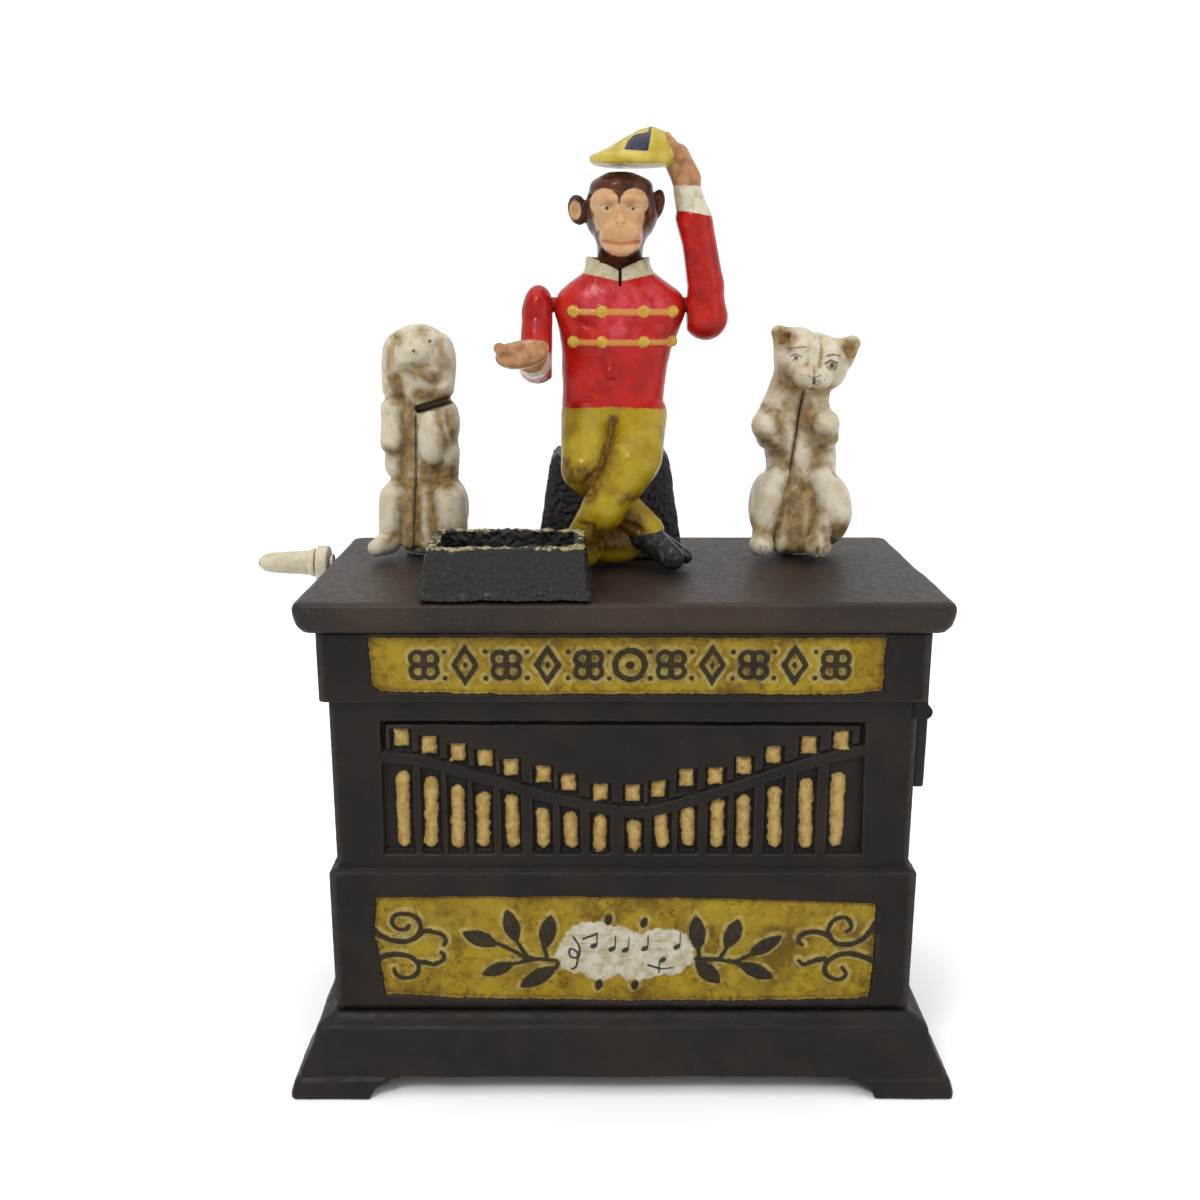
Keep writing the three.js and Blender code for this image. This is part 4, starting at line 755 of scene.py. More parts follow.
LOWPANEL = [(-50.9, 41.7), (-30, 41.9), (-4.5, 42.0), (20, 41.5), (52.3, 40.5), (52.4, 30), (52.0, 18.9), (49.8, 18.4), (25, 17.9), (2.8, 17.8), (-33.4, 18.5), (-49.7, 19.4), (-50.9, 28), (-51.6, 34.8)]
FRIEZE_P = [(-50.1, 97.4), (51.4, 97.4), (51.2, 86.3), (43.1, 85.5), (9.1, 85.7), (-18.1, 85.5), (-47.9, 86.1), (-49.9, 87.6)]
LEAVES = [(-25.9, 30.9, -33.4, 33.7, 1.75), (-22.0, 31.4, -24.0, 38.9, 1.7), (-16.3, 29.9, -14.8, 37.7, 1.75), (-22.6, 26.7, -29.4, 23.9, 1.5), (-13.8, 25.9, -21.5, 21.1, 1.75),
          (15.9, 29.5, 15.1, 37.7, 1.75), (21.5, 29.9, 24.2, 36.8, 1.75), (26.2, 28.4, 33.2, 33.0, 1.5), (24.1, 26.6, 31.7, 23.2, 1.6), (15.3, 27.1, 20.5, 22.0, 1.8)]
STEMS = [[(-25.9, 31.3), (-23.1, 29.7), (-19.9, 28.1), (-13.8, 27.3)], [(-22.0, 31.7), (-20.9, 29.9), (-19.9, 28.4)], [(-16.3, 30.1), (-15.9, 28.7), (-15.6, 27.7)], [(-22.8, 26.5), (-19.9, 27.3), (-17.4, 27.7)], [(-13.8, 25.7), (-13.4, 26.9)],
         [(15.3, 27.7), (19.2, 27.5), (23.5, 27.1), (26.4, 28.5)], [(15.9, 29.7), (16.0, 27.7)], [(21.7, 30.1), (20.3, 27.7)], [(24.3, 26.5), (22.1, 27.3)]]
SCROLLS = [[(-51.5, 34.4), (-50.2, 32.9), (-47.4, 31.8), (-44.5, 31.8), (-42.5, 33.1), (-41.9, 35.2), (-42.9, 37.3), (-45.0, 38.0), (-47.1, 37.6), (-47.8, 36.0), (-46.9, 34.6), (-45.1, 34.4), (-44.2, 35.4)],
           [(-42.5, 33.1), (-40.8, 34.1), (-39.1, 33.8), (-37.3, 33.1), (-36.8, 31.7), (-37.2, 30.9)],
           [(-51.1, 27.3), (-49.3, 28.5), (-47.1, 28.7), (-44.6, 28.3), (-42.9, 26.9), (-42.7, 24.9), (-44.1, 23.5), (-46.3, 23.3), (-47.5, 24.1), (-47.8, 25.3)],
           [(-42.9, 26.9), (-41.1, 26.9), (-39.3, 26.5), (-37.6, 27.3), (-37.3, 28.5), (-37.8, 29.1)],
           [(52.3, 36.0), (51.2, 33.7), (49.2, 31.7), (46.7, 30.9), (44.5, 31.3), (43.0, 32.9), (42.7, 34.8), (43.8, 36.6), (45.7, 37.2), (47.1, 36.3), (47.4, 34.8), (46.5, 33.9)],
           [(43.0, 32.9), (41.2, 33.7), (39.1, 33.9), (36.9, 33.1), (36.6, 31.7), (37.4, 30.9)],
           [(52.2, 27.3), (50.0, 28.3), (47.5, 28.9), (45.0, 28.5), (43.1, 27.3), (42.3, 25.5), (42.9, 23.9), (44.9, 22.9), (46.3, 23.3), (46.8, 24.5), (46.0, 25.5)],
           [(42.2, 27.7), (40.0, 27.3), (37.9, 26.5), (36.8, 27.3)]]
BUDS = [(-3.2, 36.6), (4.2, 35.8), (-5.2, 21.5), (2.4, 21.6)]
PATCH = [(-14.5, 28.5), (-13.1, 30.5), (-11.2, 33.7), (-8.7, 36.0), (-4.5, 35.6), (-1.6, 35.2), (1.2, 34.4), (3.7, 33.7), (6.9, 34.4), (11.2, 34.4), (14.5, 32.9), (15.2, 30.1), (14.9, 26.9), (12.1, 24.1), (7.1, 23.3), (3.5, 22.3), (0.6, 22.5), (-0.9, 23.7), (-3.7, 22.3), (-6.6, 22.9), (-8.8, 24.1), (-12.7, 24.9), (-14.5, 26.9)]


def spaced(marks, fine, coarse):
    """Positions through the marks [(end, is_fine)...], fine inside the panels."""
    out = [marks[0][0]]
    for (e, is_fine) in marks[1:]:
        n = max(1, round((e - out[-1]) / (fine if is_fine else coarse)))
        a = out[-1]
        out += [a + (e - a) * (i + 1) / n for i in range(n)]
    return np.array(out)


def closed_slab(front_pts, back_y):
    """A grid of points [rows, columns, 3] closed into a slab with a flat back at back_y."""
    nz, nx, _ = front_pts.shape
    back = front_pts.copy()
    back[..., 1] = back_y
    V = [front_pts.reshape(-1, 3)]
    i = np.arange(nz * nx).reshape(nz, nx)
    Q = [np.stack([i[:-1, :-1], i[:-1, 1:], i[1:, 1:], i[1:, :-1]], -1).reshape(-1, 4)]
    # the back is a coarse fan of the same outline
    ring = np.concatenate([i[0, :], i[1:, -1], i[-1, -2::-1], i[-2:0:-1, 0]])
    rb = back.reshape(-1, 3)[ring]
    n0 = nz * nx
    m = len(ring)
    j = np.arange(m)
    j2 = (j + 1) % m
    Q.append(np.stack([ring[j2], ring[j], n0 + j, n0 + j2], -1))
    V.append(rb)
    c = n0 + m
    V.append(rb.mean(0)[None])
    T = np.stack([n0 + j2, n0 + j, np.full(m, c)], -1)
    return np.vstack(V), np.vstack(Q), T


def section(z):
    """Half width and half depth of the case's end plates at height z."""
    hx = 58.7 + 1.6 * step(z, 83.7, 84.2) + 1.5 * step(z, 47.8, 47.3)
    hy = 28.8 + 1.3 * step(z, 83.7, 84.2) + 1.4 * step(z, 47.8, 47.3)
    return hx, hy


def front_plate():
    xs = spaced([(-60.3, 0), (-52.2, 0), (52.8, 1), (60.3, 0)], 0.295, 0.9)
    zs = spaced([(16.1, 0), (17.2, 0), (42.6, 1), (47.1, 0), (48.0, 1), (50.4, 0), (80.2, 1), (83.5, 0), (84.4, 1), (85.0, 0), (97.7, 1), (98.3, 0)], 0.295, 0.8)
    Z, X = np.meshgrid(zs, xs, indexing="ij")
    hx, hy = section(Z)
    s = hx / 60.3
    x = np.where(np.abs(X) > 52.9, np.sign(X) * (52.9 + (np.abs(X) - 52.9) * (hx - 52.9) / 7.4), X)
    z = Z
    P3 = np.stack([x.ravel(), np.zeros(x.size), z.ravel()], 1)
    rag = noise(P3, 2.2, 21).reshape(x.shape)
    rag2 = noise(P3, 0.9, 22).reshape(x.shape)
    depth = np.zeros(x.shape)
    far = np.full(x.shape, 9.0)
    # frieze: a band of plain ornaments on a yellow ground
    fz = poly2(x, z, FRIEZE_P) + rag * 0.12
    depth -= 0.85 * step(-fz, -0.35, 0.4)
    orn = far.copy()
    for k in range(11):
        cx, cz = 1.2 + (k - 5) * 8.1, 91.7
        if k == 5:
            d = np.minimum(np.abs(np.hypot(x - cx, z - cz) - 2.9) - 0.62, np.hypot(x - cx, z - cz) - 0.9)
        elif k % 2:
            a = np.abs(x - cx) / 2.5 + np.abs(z - cz) / 3.9
            d = np.minimum(np.abs(a - 0.86) * 2.1 - 0.52, (a - 0.24) * 2.1)
        else:
            d = far.copy()
            for q in range(4):
                t = math.pi / 2 * q + math.pi / 4
                d = np.minimum(d, np.abs(np.hypot(x - cx - 1.75 * math.cos(t), z - cz - 1.85 * math.sin(t)) - 1.35) - 0.52)
        orn = np.minimum(orn, d)
    for k in range(10):
        cx = 1.2 + (k - 4.5) * 8.1
        orn = np.minimum(orn, np.minimum(np.hypot(x - cx, z - 94.4), np.hypot(x - cx, z - 89.0)) - 0.5)
    orn += rag2 * 0.10
    # organ pipes
    rec = poly2(x, z, RECESS) + rag * 0.08
    well = step(-rec, -0.25, 0.35)
    rail = line2(x, z, RAIL, 1.32)
    railz = np.interp(x, [p[0] for p in RAIL], [p[1] for p in RAIL])
    above = np.maximum(np.maximum(rec + 0.75, -rail + 0.35), railz - z)
    slots = far.copy()
    pipes = far.copy()
    for (sx, sz), (tx, tz), (bx, bz) in zip(STUBS, TOPS, BOTS):
        slots = np.minimum(slots, np.maximum(np.abs(x - sx) - 2.05, np.abs(z - sz + 0.6) - 2.6))
        pipes = np.minimum(pipes, np.maximum(np.abs(x - sx) - 0.9, np.abs(z - sz) - 1.25) - 0.55)
        pipes = np.minimum(pipes, seg2(x, z, (tx, tz - 1.2), (bx, bz + 1.3), 1.38, 1.3))
    above = np.maximum(above, -slots)
    bars = far.copy()
    for a, b in zip(range(15), range(1, 16)):
        mx = (TOPS[a][0] + TOPS[b][0]) / 2
        bars = np.minimum(bars, np.abs(x - mx) - (abs(TOPS[b][0] - TOPS[a][0]) / 2 - 1.95))
    bars = np.maximum(bars, np.maximum(z - railz, 50 - z))
    solid = np.minimum(np.minimum(rail, above), bars)
    pipes += rag2 * 0.16 + rag * 0.10
    hol = 1.75 * well
    hol = hol * (1 - step(-solid, -0.25, 0.30)) + (0.42 * well) * step(-solid, -0.25, 0.30)
    raised = 1.15 * np.sqrt(np.clip(-pipes / 1.1, 0, 1)) * (pipes < 0)
    hol = np.maximum(hol - raised * (hol > 0.5), 0.0 * hol)
    depth -= hol
    # lower panel
    lp = poly2(x, z, LOWPANEL) + rag * 0.12
    depth -= 0.9 * step(-lp, -0.35, 0.4)
    ink = far.copy()
    for ax, az, bx, bz, w in LEAVES:
        ink = np.minimum(ink, leaf2(x, z, (ax, az), (bx, bz), w))
    for st in STEMS:
        ink = np.minimum(ink, line2(x, z, st, 0.42, 0.42))
    for i, sc in enumerate(SCROLLS):
        ink = np.minimum(ink, line2(x, z, sc, 0.62, 0.42))
    for bx, bz in BUDS:
        ink = np.minimum(ink, leaf2(x, z, (bx, bz - 1.2), (bx + 0.5, bz + 1.4), 0.8))
    ink += rag2 * 0.08
    patch = poly2(x, z, PATCH) + rag * 0.35 + rag2 * 0.25
    patch = np.maximum(patch, -ink + 0.2)
    stave = far.copy()
    for k in range(5):
        zz = 26.2 + k * 1.75 + 0.35 * np.sin(x * 0.25 + 0.6)
        stave = np.minimum(stave, np.maximum(np.abs(z - zz) - 0.09, patch + 0.8))
    mark = far.copy()
    for cx, cz, up in ((-2.2, 29.9, 1), (0.6, 29.7, 1), (4.6, 30.0, 1), (11.3, 30.4, 1), (-6.0, 30.6, 1), (8.4, 27.4, -1)):
        mark = np.minimum(mark, np.hypot((x - cx) * 0.8, (z - cz) + (x - cx) * -0.25) - 0.62)
        mark = np.minimum(mark, seg2(x, z, (cx + 0.62 * up, cz), (cx + 0.75 * up, cz + 3.0 * up), 0.17))
    mark = np.minimum(mark, seg2(x, z, (-8.2, 32.2), (-5.3, 33.4), 0.25))
    # a plain scroll where the staves begin, and a sweep under them
    mark = np.minimum(mark, line2(x, z, [(-10.6, 25.2), (-9.6, 26.0), (-9.4, 29.0), (-10.9, 30.0), (-10.9, 28.2), (-9.2, 28.0), (-9.0, 30.4), (-10.2, 32.6)], 0.24))
    mark = np.minimum(mark, line2(x, z, [(5.4, 26.2), (8.0, 25.4), (10.8, 25.6)], 0.3, 0.15))
    lowground = np.minimum(lp, 9)
    allink = np.minimum(orn, ink)
    raise_ink = 0.62 * step(-allink, -0.28, 0.22)
    depth += raise_ink * (step(-fz, 0, 0.5) + step(-lp, 0, 0.5)) + 0.22 * step(-patch, -0.3, 0.4) * step(-lp, 0, 0.4) + 0.12 * step(-mark, -0.1, 0.12)
    # eased outer edges and the casting's unevenness
    ex = np.clip((np.abs(x) - (hx - 0.7)) / 0.7, 0, 1)
    depth -= 0.55 * (1 - np.sqrt(1 - ex ** 2 * 0.98))
    ez = np.clip((16.9 - z) / 0.8, 0, 1)
    depth -= 0.45 * (1 - np.sqrt(1 - ez ** 2 * 0.98))
    depth += 0.055 * noise(P3, 1.0, 31).reshape(x.shape) + 0.03 * noise(P3, 0.5, 33).reshape(x.shape) + 0.10 * noise(P3, 6.0, 32).reshape(x.shape)
    y = -(hy + depth)
    V, Q, T = closed_slab(np.stack([x, y, z], -1), -25.5)
    n = x.size
    ground = np.minimum(np.maximum(fz, -orn), np.maximum(lp, -ink))
    def full(a, rest=9.0):
        return np.concatenate([a.ravel(), np.full(len(V) - n, rest)])
    # the ring round the ornaments carries the painted highlight
    at = {"ground": full(np.minimum(fz + 0.15, lp + 0.15)), "ink": full(np.maximum(allink, np.minimum(fz, lp))), "halo_highlight": full(np.maximum(np.maximum(allink - 0.75, -allink), np.minimum(fz, lp) + 0.5)),
          "pipe": full(pipes), "patch": full(np.maximum(patch, lp)), "stave": full(stave), "mark": full(np.maximum(mark, patch - 0.4))}
    return V, Q, T, at, (nz_nx := x.shape)


def fan_mesh(name, V, Q, T, at):
    me = bpy.data.meshes.new(name)
    P = V.copy()
    P[:, 0] += OX
    me.vertices.add(len(P))
    me.vertices.foreach_set("co", (P * MM).astype(np.float32).ravel())
    loops = np.concatenate([Q.ravel(), T.ravel()]).astype(np.int32)
    me.loops.add(len(loops))
    me.loops.foreach_set("vertex_index", loops)
    tot = np.concatenate([np.full(len(Q), 4), np.full(len(T), 3)]).astype(np.int32)
    me.polygons.add(len(tot))
    me.polygons.foreach_set("loop_start", np.concatenate([[0], np.cumsum(tot)[:-1]]).astype(np.int32))
    me.polygons.foreach_set("loop_total", tot)
    me.update(calc_edges=True)
    me.validate()
    me.polygons.foreach_set("use_smooth", np.full(len(me.polygons), True))
    for k, v in at.items():
        me.attributes.new(k, "FLOAT", "POINT").data.foreach_set("value", np.asarray(v, np.float32))
    o = bpy.data.objects.new(name, me)
    scene.collection.objects.link(o)
    return o


def slab_edges(V, Q, shape, h=0.295):
    """edge and cav for the front grid, on its own vertices only."""
    n = shape[0] * shape[1]
    q = Q[(Q < n).all(1)]
    e, cav = hollows(V[:n], q, h, 1.6)
    pad = np.zeros(len(V) - n)
    return np.concatenate([e, pad]), np.concatenate([cav, pad])


V, Q, T, at, shp = front_plate()
at["edge"], at["cav"] = slab_edges(V, Q, shp)
# the front lug of the coin door goes in as one mesh with the plate
lugF = Field([57.2, -29.3, 79.4], [61.8, -26.6, 85.0], 0.3)
lugF.add(block((58.9, -27.95, 82.4), (1.7, 1.25, 2.2), 0.4))
lugF.add(cyl((60.2, -29.2, 81.6), 1, 1.4, 2.5, 0.25), 0.5)
lugF.cut(cyl((60.2, -28.6, 81.6), 1, 0.75, 3.0, 0.02))
lugF.keep(lambda X, Y, Z: 57.7 - X + 0 * Y + 0 * Z)
lV, lQ = skin(lugF)
lV = relax(lV, lQ, 1)
n0 = len(V)
at = {k: np.concatenate([v, np.full(len(lV), 0.0 if k in ("edge", "cav") else 9.0)]) for k, v in at.items()}
front = fan_mesh("front_plate_relief", np.vstack([V, lV]), np.vstack([Q, lQ + n0]), T, at)
front.data.materials.append(M_FRONT)
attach(front, "root")
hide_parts("front_plate")

# ---------------------------------------------------------------- plain castings of the case
def rows_field(rows, corner):
    """Rounded rectangles [half x, half y, z] with straight flanks between them."""
    R = np.array(rows, float)

    def f(X, Y, Z):
        hx, hy = np.interp(Z, R[:, 2], R[:, 0]), np.interp(Z, R[:, 2], R[:, 1])
        qx, qy = np.abs(X) - hx + corner, np.abs(Y) - hy + corner
        d = np.hypot(np.maximum(qx, 0), np.maximum(qy, 0)) + np.minimum(np.maximum(qx, qy), 0) - corner
        slope = np.interp(Z, (R[1:, 2] + R[:-1, 2]) / 2, np.cos(np.arctan(np.abs(np.diff(R[:, 0]) / np.maximum(np.diff(R[:, 2]), 1e-3)))))
        return np.maximum(d * slope, np.maximum(R[0, 2] - Z, Z - R[-1, 2]))
    return f, [-R[:, 0].max(), -R[:, 1].max(), R[0, 2]], [R[:, 0].max(), R[:, 1].max(), R[-1, 2]]


def shifted(shape, dx, dy, dz=0):
    f, lo, hi = shape
    d = (dx, dy, dz)
    return (lambda X, Y, Z: f(X - dx, Y - dy, Z - dz)), [lo[i] + d[i] for i in range(3)], [hi[i] + d[i] for i in range(3)]


def arch(axis, half, out, top):
    """The gap under the apron between two feet: curved shoulders, flat top."""
    def f(X, Y, Z):
        u = np.abs(X if axis == 0 else Y)
        e = np.interp(u, [0, half, half + out * 0.25, half + out * 0.55, half + out * 0.8, half + out], [top, top - 0.1, top - 0.55, top - 1.5, top - 2.7, -3.0])
        return (Z - e) * 0.8 + 0 * X + 0 * Y
    lo = [-half - out, -40, -2] if axis == 0 else [-72, -half - out, -2]
    hi = [half + out, 40, top] if axis == 0 else [72, half + out, top]
    return f, lo, hi


plinth_rows = [(69.0, 38.3, 0), (68.9, 38.2, 1.4), (68.3, 37.6, 3.4), (67.3, 36.6, 5.2), (66.3, 35.6, 7.2), (65.3, 34.6, 9.4), (64.6, 33.9, 11.4), (64.25, 33.5, 12.6), (64.1, 33.35, 13.3), (63.7, 32.9, 13.8), (62.6, 31.8, 14.4), (61.2, 30.9, 15.2), (60.6, 30.6, 15.8)]
F = Field([-69, -38.3, 0], [69, 38.3, 15.8], 0.62)
F.add(rows_field(plinth_rows, 1.3))
F.cut(rows_field([(65.4, 34.7, -2), (62.6, 31.9, 6.4), (61, 30.2, 8.2)], 1.0), 0.5)
F.cut(block((0, 0, 16.2), (54, 24, 5), 0.8), 0.3)
F.cut(arch(0, 46.0, 7.2, 4.3), 0.5)
F.cut(arch(1, 17.0, 5.6, 4.3), 0.5)
for s in (-1, 1):
    F.cut(cyl((s * 50, -18, 2), 2, 2.4, 14, 0.05))


def scribe(V, N):
    out = (np.abs(N[:, 2]) < 0.75) & (np.abs(V[:, 0]) + np.abs(V[:, 1]) * 0.5 > 20)
    corner = (np.abs(V[:, 0]) > 47) & (np.abs(V[:, 1]) > 33) | (np.abs(V[:, 0]) > 64.5)
    z0 = 4.6 + 0.15 * np.sin(V[:, 0] * 0.2)
    return np.where(out & corner & (V[:, 2] < 8), -0.42 * np.exp(-((V[:, 2] - z0) / 0.55) ** 2), 0) + 0.16 * noise(V, 9, 77)


casting("base_plinth_casting", F, M_JAPAN, "root", "base_plinth", rough=0.075, grain=1.5, seed=5, extra=scribe)


def end_slabs(F, sign):
    for hx, hy, z0, z1 in ((60.3, 30.1, 84, 98.3), (58.7, 28.8, 46.5, 85), (60.2, 30.2, 16.1, 47.5)):
        F.add(block((0, sign * (25.5 + hy) / 2, (z0 + z1) / 2), (hx, (hy - 25.5) / 2, (z1 - z0) / 2), 0.45), 0.35 if F.D.min() < 0 else 0)


F = Field([-60.3, 25.5, 16.1], [60.3, 30.2, 98.3], 0.6)
end_slabs(F, 1)
for x, z, r in ((20, 60, 1.8), (20, 81.6, 1.3), (20, 71.6, 1.1)):
    F.cut(cyl((x, 24, z), 1, r, 8, 0.02))
casting("back_plate_casting", F, M_JAPAN, "root", "back_plate", rough=0.075, grain=1.5, seed=8)


def side_slabs(F, s):
    for hx, z0, z1 in ((60.3, 84, 98.3), (58.7, 46.5, 85), (60.2, 16.1, 47.5)):
        F.add(block((s * (55.5 + hx) / 2, 0, (z0 + z1) / 2), ((hx - 55.5) / 2, 25.2, (z1 - z0) / 2), 0.4), 0.35 if F.D.min() < 0 else 0)


F = Field([-60.3, -25.2, 16.1], [-55.5, 25.2, 98.3], 0.45)
side_slabs(F, -1)
F.cut(cyl((-64, 15, 86), 0, 4.3, 16, 0.05), 0.3)
casting("left_side_casting", F, M_JAPAN, "root", "left_side_plate", rough=0.07, grain=1.4, seed=11)
F = Field([55.5, -25.2, 16.1], [61.8, 25.2, 98.3], 0.45)
side_slabs(F, 1)
F.cut(cyl((50, 15, 86), 0, 4.3, 7.6, 0.05), 0.2)
F.cut(block((56, -11, 73.1), (7, 13, 6.5), 0.6), 0.3)
F.add(block((58.9, 7.95, 82.4), (1.7, 1.05, 2.2), 0.4), 0.4)
F.add(cyl((60.2, 6.9, 81.6), 1, 1.4, 2.1, 0.25), 0.4)
F.cut(cyl((60.2, 6, 81.6), 1, 0.75, 4, 0.02))
casting("right_side_casting", F, M_JAPAN, "root", "right_side_plate", rough=0.07, grain=1.4, seed=12)

F = Field([-64.2, -33.35, 94], [64.2, 33.35, 105], 0.6)
F.add(rows_field([(62.6, 31.8, 98.6), (62.9, 32.1, 99.2), (63.6, 32.8, 100.2), (64.0, 33.15, 101.8), (64.2, 33.35, 103.2), (64.15, 33.3, 104.1), (63.8, 32.95, 104.65), (63.2, 32.3, 105.0)], 1.8))
F.cut(block((0, 0, 95.9), (55.5, 25.5, 5.9), 0.5), 0.3)
for s in (-1, 1):
    F.add(cyl((s * 50, -18, 94), 2, 5.0, 8.8, 0.4), 0.5)
    F.cut(cyl((s * 50, -18, 90), 2, 2.3, 11.4, 0.02))
for x in (-44.5, 40.5):
    F.cut(cyl((x, 15, 100), 2, 2.15, 6, 0.02))
F.cut(cyl((-1.8, 12.5, 100), 2, 1.35, 6, 0.02))
F.cut(block((-23, -21, 103), (14, 2.6, 4), 0.3))
for x, y, r in ((-34.8, -12.4, 1.4), (-11.2, -12.4, 1.4), (-8.7, 12.0, 1.7)):
    F.cut(cyl((x, y, 100), 2, r, 6, 0.02))
casting("top_plate_casting", F, M_TOP, "root", "top_plate", rough=0.022, grain=1.6, seed=14, extra=lambda V, N: 0.12 * noise(V, 8, 78) * (np.abs(N[:, 2]) < 0.9) + 0.04 * noise(V, 16, 79) * (N[:, 2] > 0.9) - 0.04)

F = Field([59, -26.4, 64.6], [61.4, 6.6, 82.8], 0.28)
F.add(block((60.2, -9.9, 73.2), (1.2, 16.5, 8.6), 0.45))
F.add(cyl((60.2, -26.4, 81.6), 1, 1.2, 33, 0.2), 0.25)
F.cut(cyl((60.2, -28, 81.6), 1, 0.74, 38, 0.02))
casting("coin_door_casting", F, M_JAPAN, "coin_door", "coin_door", rough=0.045, grain=1.2, seed=16)

# ---------------------------------------------------------------- hopper and seat, in crinkle black
def crinkle(V, N):
    a = noise(V, 0.95, 41)
    b = noise(V, 0.5, 42)
    return 0.24 * np.abs(a) + 0.09 * b + 0.12 * noise(V, 3.0, 43) - 0.20


hcx, hcy, hhx, hhy = -23.0, -21.15, 16.7, 11.95
F = Field([-39.7, -33.1, 105.3], [-6.3, -9.2, 115.9], 0.27)
F.add(shifted(rows_field([(hhx, hhy, 105.3), (hhx, hhy, 106.3), (hhx - 0.15, hhy - 0.15, 106.6), (hhx - 0.55, hhy - 0.55, 106.9), (hhx - 1.5, hhy - 1.7, 115.6)], 0.9), hcx, hcy))
F.cut(shifted(rows_field([(13.6, 3.4, 103), (13.8, 3.8, 107.2), (hhx - 3.7, hhy - 4.0, 110.1), (hhx - 3.6, hhy - 3.7, 117)], 0.6), hcx, hcy), 0.35)
for x in (-34.8, -11.2):
    F.cut(cyl((x, -12.4, 104), 2, 1.4, 4.6, 0.02))


def hopper_rim(V, N):
    top = step(V[:, 2], 113.4, 115.2)
    return 1.45 * crinkle(V, N) + top * (0.34 * noise(V, 2.6, 44) + 0.14 * noise(V, 1.1, 45))


def hopper_paint(V, N):
    side = 115.0 + 0.5 * noise(V, 3.4, 46) + 0.25 * noise(V, 1.2, 47) - V[:, 2]
    return {"rim": np.minimum(side * 1.1, 9)}


casting("coin_hopper_casting", F, M_HOPPER, "root", "coin_hopper", rough=0.0, seed=18, extra=hopper_rim, paint=hopper_paint, smooth=1)

F = Field([-19.1, 5.8, 105.3], [14.1, 26.2, 128.4], 0.3)
F.add(shifted(rows_field([(16.6, 10.2, 105.3), (16.55, 10.15, 106.3), (16.1, 9.85, 107.2), (13.3, 8.5, 126.0), (13.0, 8.2, 127.0), (12.5, 7.8, 127.8), (11.8, 7.2, 128.3)], 1.6), -2.5, 16))
F.cut(cyl((-1.8, 12.5, 100), 2, 1.5, 30, 0.02))
F.cut(cyl((-8.7, 12.0, 100), 2, 1.7, 30, 0.02))
casting("seat_casting", F, M_CRINKLE, "root", "seat", rough=0.0, seed=19, extra=crinkle, smooth=1)

# ---------------------------------------------------------------- crank
F = Field([-69.4, 9.8, 80.9], [-63.6, 20.4, 106.6], 0.22)
F.add(capsule((-67.8, 15, 86.5), (-67.8, 15, 102), 4.0, 3.2))
F.keep(lambda X, Y, Z: np.maximum(np.abs(X + 67.8) - 1.4, 0 * Y + 0 * Z - 9))
F.add(cyl((-69.2, 15, 86), 0, 4.8, 5.4, 0.5), 0.5)
F.add(cyl((-69.2, 15, 102.5), 0, 3.9, 2.8, 0.5), 0.4)
F.cut(cyl((-75, 15, 86), 0, 2.5, 15, 0.02))
F.cut(cyl((-75, 15, 102.5), 0, 1.3, 15, 0.02))
casting("crank_arm_casting", F, M_CREAM, "crank", "crank_arm", rough=0.05, grain=1.0, seed=21)

kp = np.array([(3.1, 0.0), (3.25, 0.3), (3.2, 0.9), (2.78, 1.5), (2.66, 3), (2.52, 6.5), (2.3, 10), (2.0, 11.6), (1.55, 12.4), (1.2, 12.62)])
F = Field([-82.2, 11.6, 99.1], [-69.5, 18.4, 105.9], 0.18)


def knob_shape(X, Y, Z):
    t = -69.5 - X
    r = np.interp(t, kp[:, 1], kp[:, 0])
    return np.maximum(np.hypot(Y - 15, Z - 102.5) - r, np.maximum(-t, t - 12.62))


F.D = np.minimum(F.D, knob_shape(*F.window(F.lo, F.lo + F.n * F.h, 0)[1:])).astype(np.float32)
F.cut(cyl((-84, 15, 102.5), 0, 1.1, 16, 0.02))
casting("crank_knob_turning", F, M_CREAM, "knob", "crank_knob", rough=0.05, grain=1.0, seed=22)


# ---------------------------------------------------------------- the dog and the cat
def spots(V, pts, front=None):
    """Signed distance, seen from the front, to round spots (x, z, radius)."""
    d = np.full(len(V), 9.0)
    for x, z, r in pts:
        d = np.minimum(d, np.hypot(V[:, 0] - x, V[:, 2] - z) - r)
    if front is not None:
        d = np.where(V[:, 1] < front, d, 9.0)
    return d


def strokes(V, segs, front=None):
    d = np.full(len(V), 9.0)
    for a, b, r in segs:
        d = np.minimum(d, seg2(V[:, 0], V[:, 2], a, b, r))
    if front is not None:
        d = np.where(V[:, 1] < front, d, 9.0)
    return d


def halves(name, F, x0, split, gap, mat, seed, marks, body, extra=None):
    """Cuts a whole figure down its seam and makes the two half castings."""
    sp = np.array(split, float)
    gp = np.array(gap, float)
    for side, label in ((-1, "right_half"), (1, "left_half")):
        G = F.copy()
        G.keep(lambda X, Y, Z: (np.interp(Z - 105, sp[:, 0], sp[:, 1]) + x0 - X) * side + np.interp(Z - 105, gp[:, 0], gp[:, 1]) + 0 * Y)

        def paint(V, N):
            L = V - np.array([x0, 15, 105])
            return marks(L, N)
        casting(f"{name}_{label}_casting", G, mat, body, f"{name}_{label}", rough=0.05, grain=1.1, seed=seed, paint=paint, wide=1.9, extra=extra)


def figure_field(x0, adds, h=0.27):
    F = Field([x0 - 13.5, 15 - 15, 105.5], [x0 + 13.8, 15 + 15, 157], h)
    for shape, k in adds:
        F.add(shifted(shape, x0, 15, 105), k)
    return F


